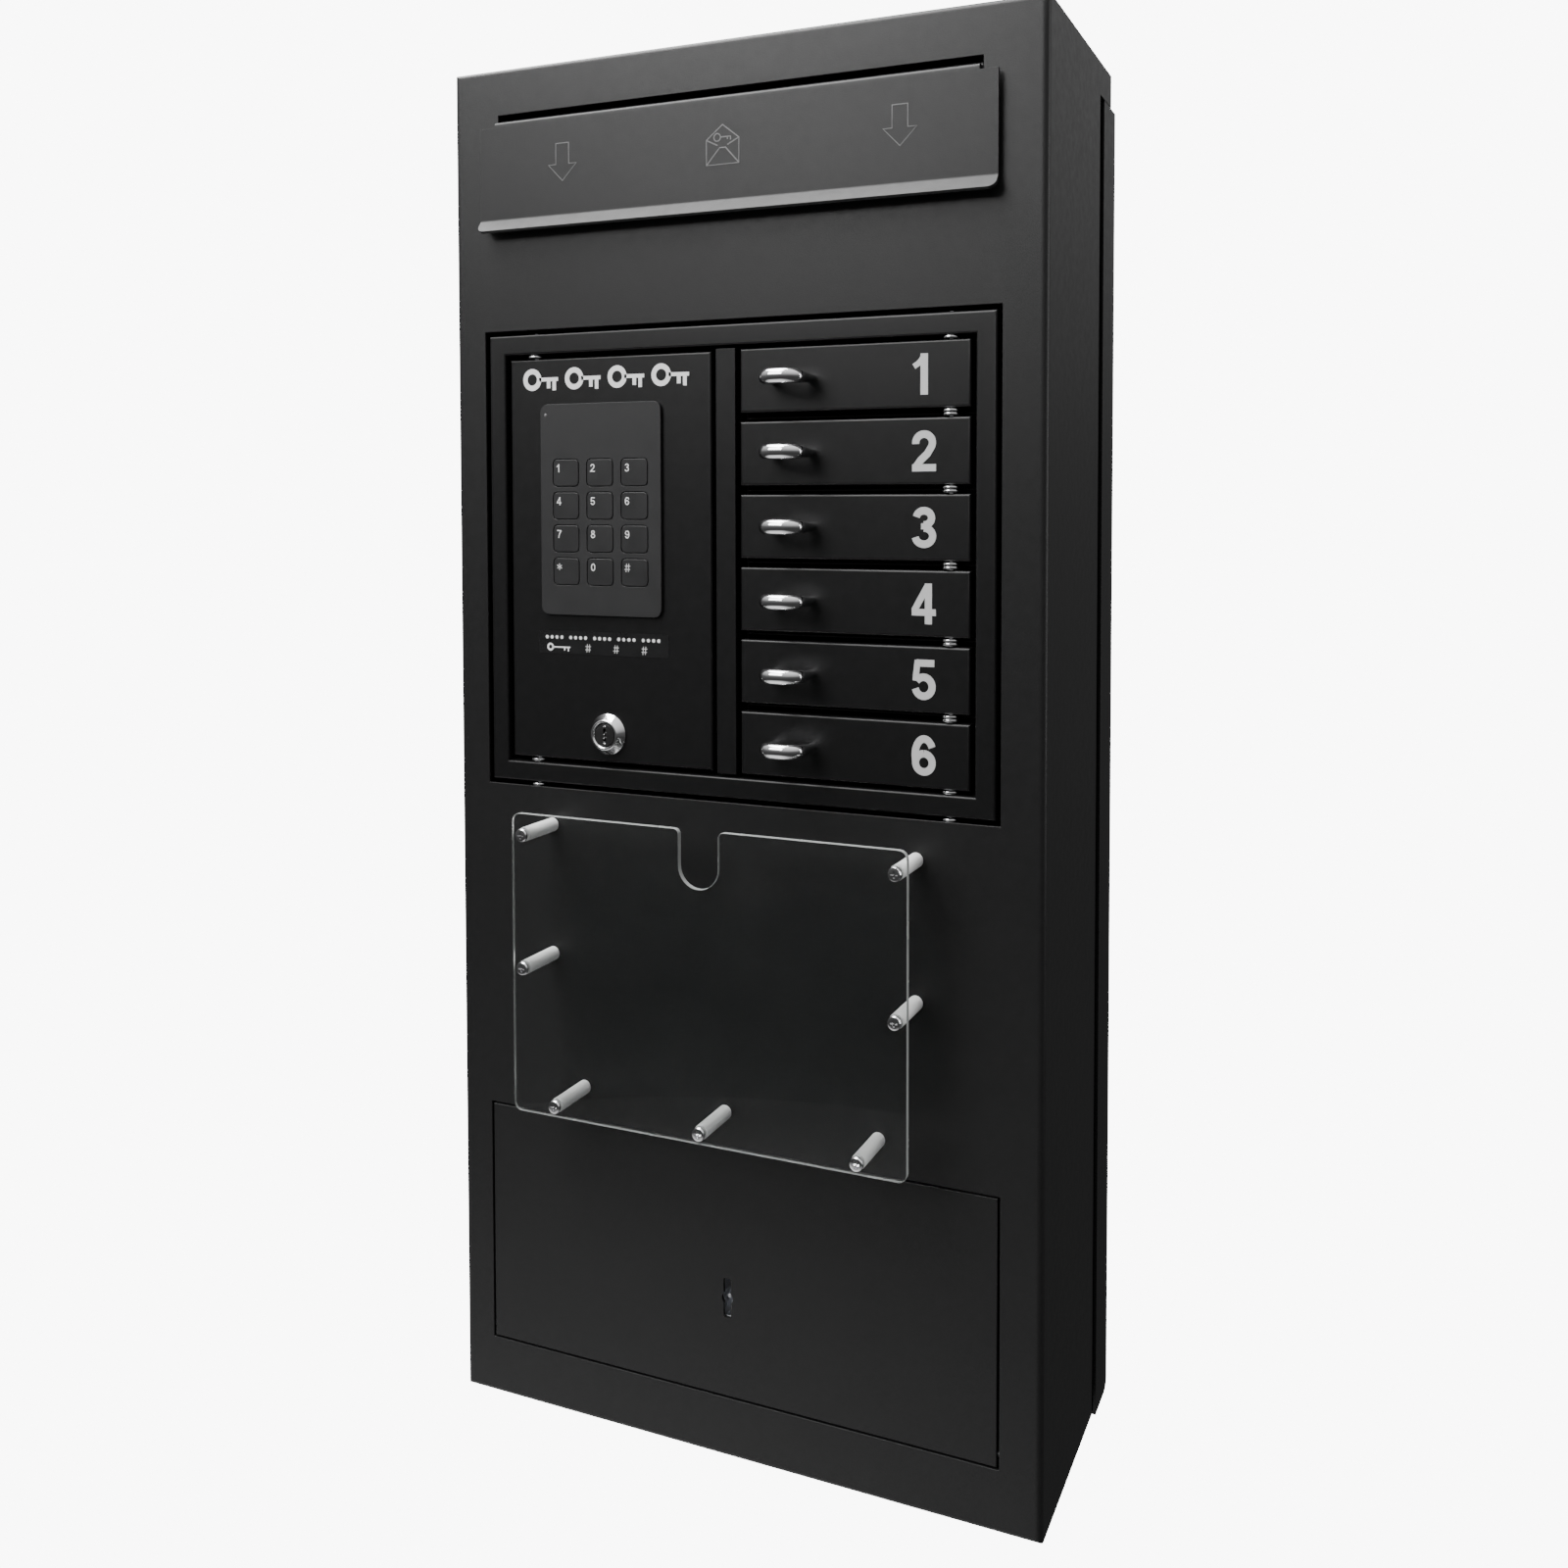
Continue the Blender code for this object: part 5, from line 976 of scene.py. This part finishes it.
# strokes of each sign on a body one high, with the share of the full stroke width
strokes = {
    "0": [(arc(0, 0.5, 0.235, 0.41, 90, 450, 32), 1)],
    "1": [([(0.0, 0), (0.0, 1)], 1.05), ([(-0.01, 0.95), (-0.09, 0.83), (-0.17, 0.76), (-0.29, 0.69)], 0.75)],
    "2": [(arc(0, 0.70, 0.235, 0.21, 188, -30) + [(0.09, 0.43), (-0.10, 0.27), (-0.215, 0.13)], 1),
          ([(-0.335, 0.09), (0.335, 0.09)], 0.95)],
    "3": [(arc(0, 0.735, 0.215, 0.175, 172, -90), 1), (arc(0, 0.29, 0.245, 0.20, 90, -172), 1),
          ([(-0.08, 0.53), (0.04, 0.53)], 0.8)],
    "4": [([(0.13, 0), (0.13, 1)], 1), ([(-0.34, 0.29), (0.34, 0.29)], 0.9), ([(0.10, 0.93), (-0.27, 0.33)], 0.9)],
    "5": [([(-0.20, 0.91), (0.30, 0.91)], 0.95), ([(-0.17, 0.98), (-0.235, 0.47)], 0.85),
          (arc(0, 0.33, 0.24, 0.235, 145, -168), 1)],
    "6": [(arc(0.01, 0.32, 0.235, 0.225, 90, 450, 30), 1), (arc(0.02, 0.50, 0.26, 0.41, 205, 30), 1)],
    "7": [([(-0.32, 0.91), (0.32, 0.91)], 0.95), ([(0.26, 0.87), (0.08, 0.60), (-0.03, 0.32), (-0.07, 0)], 1)],
    "8": [(arc(0, 0.745, 0.195, 0.165, 90, 450, 28), 1), (arc(0, 0.29, 0.24, 0.20, 90, 450, 28), 1)],
    "9": [(arc(-0.01, 0.68, 0.235, 0.225, 90, 450, 30), 1), (arc(-0.02, 0.50, 0.26, 0.41, 25, -150), 1)],
    "star": [([(-0.4 * math.cos(a), 0.5 - 0.4 * math.sin(a)), (0.4 * math.cos(a), 0.5 + 0.4 * math.sin(a))], 0.6)
             for a in (math.radians(30), math.radians(90), math.radians(150))],
    "hash": [([(-0.20, 0), (-0.12, 1)], 0.55), ([(0.13, 0), (0.21, 1)], 0.55),
             ([(-0.40, 0.31), (0.36, 0.31)], 0.55), ([(-0.36, 0.70), (0.40, 0.70)], 0.55)],
}


def addSign(bm, mark, x, y, z, tall, weight, thick, squeeze=1.0):
    # z is the middle of the sign's height
    for layer, (route, share) in enumerate(strokes[mark]):
        points = [(x + px * tall * squeeze, z + (pz - 0.5) * tall) for px, pz in route]
        addStroke(bm, points, weight * share * tall / 2, y, thick + layer * 0.000008)


lift = 0.00002      # print stands this far off the face under it
digits = Sizes(tall=0.0226, centre=0.0273, weight=0.185, thick=0.00006, squeeze=0.93)


def makeDigits():
    for number in range(1, 7):
        low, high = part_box(f"door_{number}")
        bm = bmesh.new()
        addSign(bm, str(number), high.x - digits.centre, low.y - lift, (low.z + high.z) / 2,
                digits.tall, digits.weight, digits.thick, digits.squeeze)
        facesOut(bm)
        finishPiece(f"doorNumber{number}", bm, "silverPrint", f"compartment_door_{number}",
                    smooth=False)


legend = Sizes(tall=0.0050, left=0.0042, top=0.0028, weight=0.125, thick=0.00004)


def makeLegends():
    for nodeName in keyNames:
        mark = nodeName[4:]
        low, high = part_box(nodeName)
        bm = bmesh.new()
        addSign(bm, mark, low.x + legend.left, low.y - lift, high.z - legend.top - legend.tall / 2,
                legend.tall, legend.weight, legend.thick)
        facesOut(bm)
        finishPiece("legend" + mark.capitalize(), bm, "whitePrint", body_of(nodes[nodeName])[0],
                    smooth=False)


def addKeySign(bm, left, middle, y, wide, tall, thick):
    # a key lying on its side: bow ring, shaft and two teeth
    outer, shaft = tall / 2, tall * 0.17
    inner = outer * 0.52
    ring = [(inner, 0), (outer, 0), (outer, -thick), (inner, -thick), (inner, 0)]
    addForm(bm, turnedPiece(ring, (left + outer, y, middle), "Y", 36))
    addBlock(bm, (left + outer * 1.75, y - thick, middle - shaft / 2), (left + wide, y, middle + shaft / 2))
    for back, drop in ((0.06, 0.42), (0.22, 0.32)):
        right = left + wide * (1 - back)
        addBlock(bm, (right - shaft * 1.1, y - thick, middle - shaft / 2 - tall * drop),
                 (right, y, middle - shaft / 2))


def makeDoorSigns():
    # pictograms where the control door carries its title and its instruction
    title = Sizes(left=0.0096, width=0.1180, drop=0.0125, tall=0.0135, count=4, gap=0.0050, thick=0.00006)
    note = Sizes(left=0.0200, width=0.0930, foot=0.0656, tall=0.0140, corner=0.0012, dot=0.0011, pitch=0.0036,
        groupGap=0.0040, groups=5, dots=4, margin=0.006, rows=0.28, keyWide=0.017, keyTall=0.0048, hashFrom=0.036,
        hashPitch=0.020, hashTall=0.0050, hashWeight=0.115, film=0.00008, thick=0.00004)
    low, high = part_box("control_door")
    y = low.y - lift
    bm = bmesh.new()
    each = (title.width - title.gap * (title.count - 1)) / title.count
    for index in range(title.count):
        addKeySign(bm, low.x + title.left + index * (each + title.gap), high.z - title.drop, y, each,
                   title.tall, title.thick)
    finishPiece("titleSign", bm, "whitePrint", "keypad_door", smooth=False)
    bm = bmesh.new()
    noteLow = (low.x + note.left, y - note.film, low.z + note.foot)
    noteHigh = (noteLow[0] + note.width, y, noteLow[2] + note.tall)
    addBlock(bm, noteLow, noteHigh)
    corners = [e for e in bm.edges if abs(e.verts[0].co.y - e.verts[1].co.y) > tiny]
    roundEdges(bm, corners, note.corner, 5)
    finishPiece("noteFilm", bm, "noteFilm", "keypad_door", smooth=False)
    bm = bmesh.new()
    front = noteLow[1] - lift
    rowZ = noteHigh[2] - note.tall * note.rows
    x = noteLow[0] + note.margin
    disc = [(0, 0), (note.dot, 0), (note.dot, -note.thick), (0, -note.thick)]
    for group in range(note.groups):
        for dot in range(note.dots):
            addForm(bm, turnedPiece(disc, (x, front, rowZ), "Y", 20))
            x += note.pitch
        x += note.groupGap - note.pitch * 0.3
    lowRow = noteLow[2] + note.tall * note.rows
    addKeySign(bm, noteLow[0] + note.margin, lowRow, front, note.keyWide, note.keyTall, note.thick)
    for index in range(3):
        addSign(bm, "hash", noteLow[0] + note.hashFrom + index * note.hashPitch, front, lowRow,
                note.hashTall, note.hashWeight, note.thick)
    facesOut(bm)
    finishPiece("noteSigns", bm, "whitePrint", "keypad_door", smooth=False)
    padLow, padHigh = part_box("keypad_body")
    led = Sizes(left=0.0040, drop=0.0068, radius=0.0011, proud=0.0004)
    dome = [(0, -led.proud), (led.radius * 0.6, -led.proud * 0.8), (led.radius, 0), (0, 0)]
    bm = turnedPiece(dome, (padLow.x + led.left, padLow.y, padHigh.z - led.drop), "Y", 24)
    finishPiece("statusLamp", bm, "paleEtch", "keypad_door")


makeDigits()
makeLegends()
makeDoorSigns()
print("numbers and signs done")


def lineForm(routes, width, proud):
    # raised outlines drawn in the upright plane from closed or open routes
    lines = bpy.data.curves.new("lines", "CURVE")
    lines.dimensions = "3D"
    lines.bevel_depth = width / 2
    lines.bevel_resolution = 1
    for points, closed in routes:
        spline = lines.splines.new("POLY")
        spline.points.add(len(points) - 1)
        for spot, (x, z) in zip(spline.points, points):
            spot.co = (x, 0, z, 1)
        spline.use_cyclic_u = closed
    holder = bpy.data.objects.new("lines", lines)
    toScene(holder)
    mesh = bpy.data.meshes.new_from_object(holder.evaluated_get(bpy.context.evaluated_depsgraph_get()))
    bpy.data.objects.remove(holder)
    bm = bmesh.new()
    bm.from_mesh(mesh)
    bpy.data.meshes.remove(mesh)
    bmesh.ops.scale(bm, verts=bm.verts, vec=(1, proud / (width / 2), 1))
    return bm


flapSigns = Sizes(line=0.00085, proud=0.00012, arrowReach=0.1100, shift=0.0020, drop=0.0285, tall=0.0225,
    head=0.0200, shaft=0.0092, headTall=0.0100, envelopeWide=0.0212, envelopeTall=0.0225, keyUp=0.0042,
    keyLeft=-0.0035, keyRing=0.0022,
    keyLines=[[(-0.0013, 0), (0.0052, 0), (0.0052, 0.0020)], [(0.0032, 0), (0.0032, 0.0016)]])


# an envelope in shares of its half width and its height
envelope = [([(-1, -0.5), (1, -0.5), (1, 0.14), (0, 0.5), (-1, 0.14)], True),
            ([(-1, -0.5), (-0.18, -0.08), (0.18, -0.08), (1, -0.5)], False),
            ([(-1, 0.14), (-0.30, -0.02)], False), ([(1, 0.14), (0.30, -0.02)], False)]


def makeFlapSigns():
    rodLow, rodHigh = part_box("flap_rod")
    top = (rodLow.z + rodHigh.z) / 2
    y = hoodLow.y - flap.standOff - flap.wall
    middle = top - flapSigns.drop
    high, foot = middle + flapSigns.tall / 2, middle - flapSigns.tall / 2
    neck = foot + flapSigns.headTall
    shaft, head = flapSigns.shaft / 2, flapSigns.head / 2
    arrow = [(-shaft, high), (shaft, high), (shaft, neck), (head, neck), (0, foot), (-head, neck), (-shaft, neck)]
    routes = [([(x + side * flapSigns.arrowReach, z) for x, z in arrow], True) for side in (-1, 1)]
    half, tall = flapSigns.envelopeWide / 2, flapSigns.envelopeTall
    routes += [([(x * half, middle + z * tall) for x, z in points], closed) for points, closed in envelope]
    keyZ, ring = middle + flapSigns.keyUp, flapSigns.keyRing
    routes.append(([(flapSigns.keyLeft + ring * math.cos(a), keyZ + ring * math.sin(a))
                    for a in [math.radians(30 * step) for step in range(12)]], True))
    for teeth in flapSigns.keyLines:
        routes.append(([(x, keyZ - drop) for x, drop in teeth], False))
    bm = lineForm(routes, flapSigns.line, flapSigns.proud)
    bmesh.ops.translate(bm, verts=bm.verts, vec=(faceCentre + flapSigns.shift, y, 0))
    finishPiece("flapSigns", bm, "paleEtch", "flap")


makeFlapSigns()
print("flap signs done")
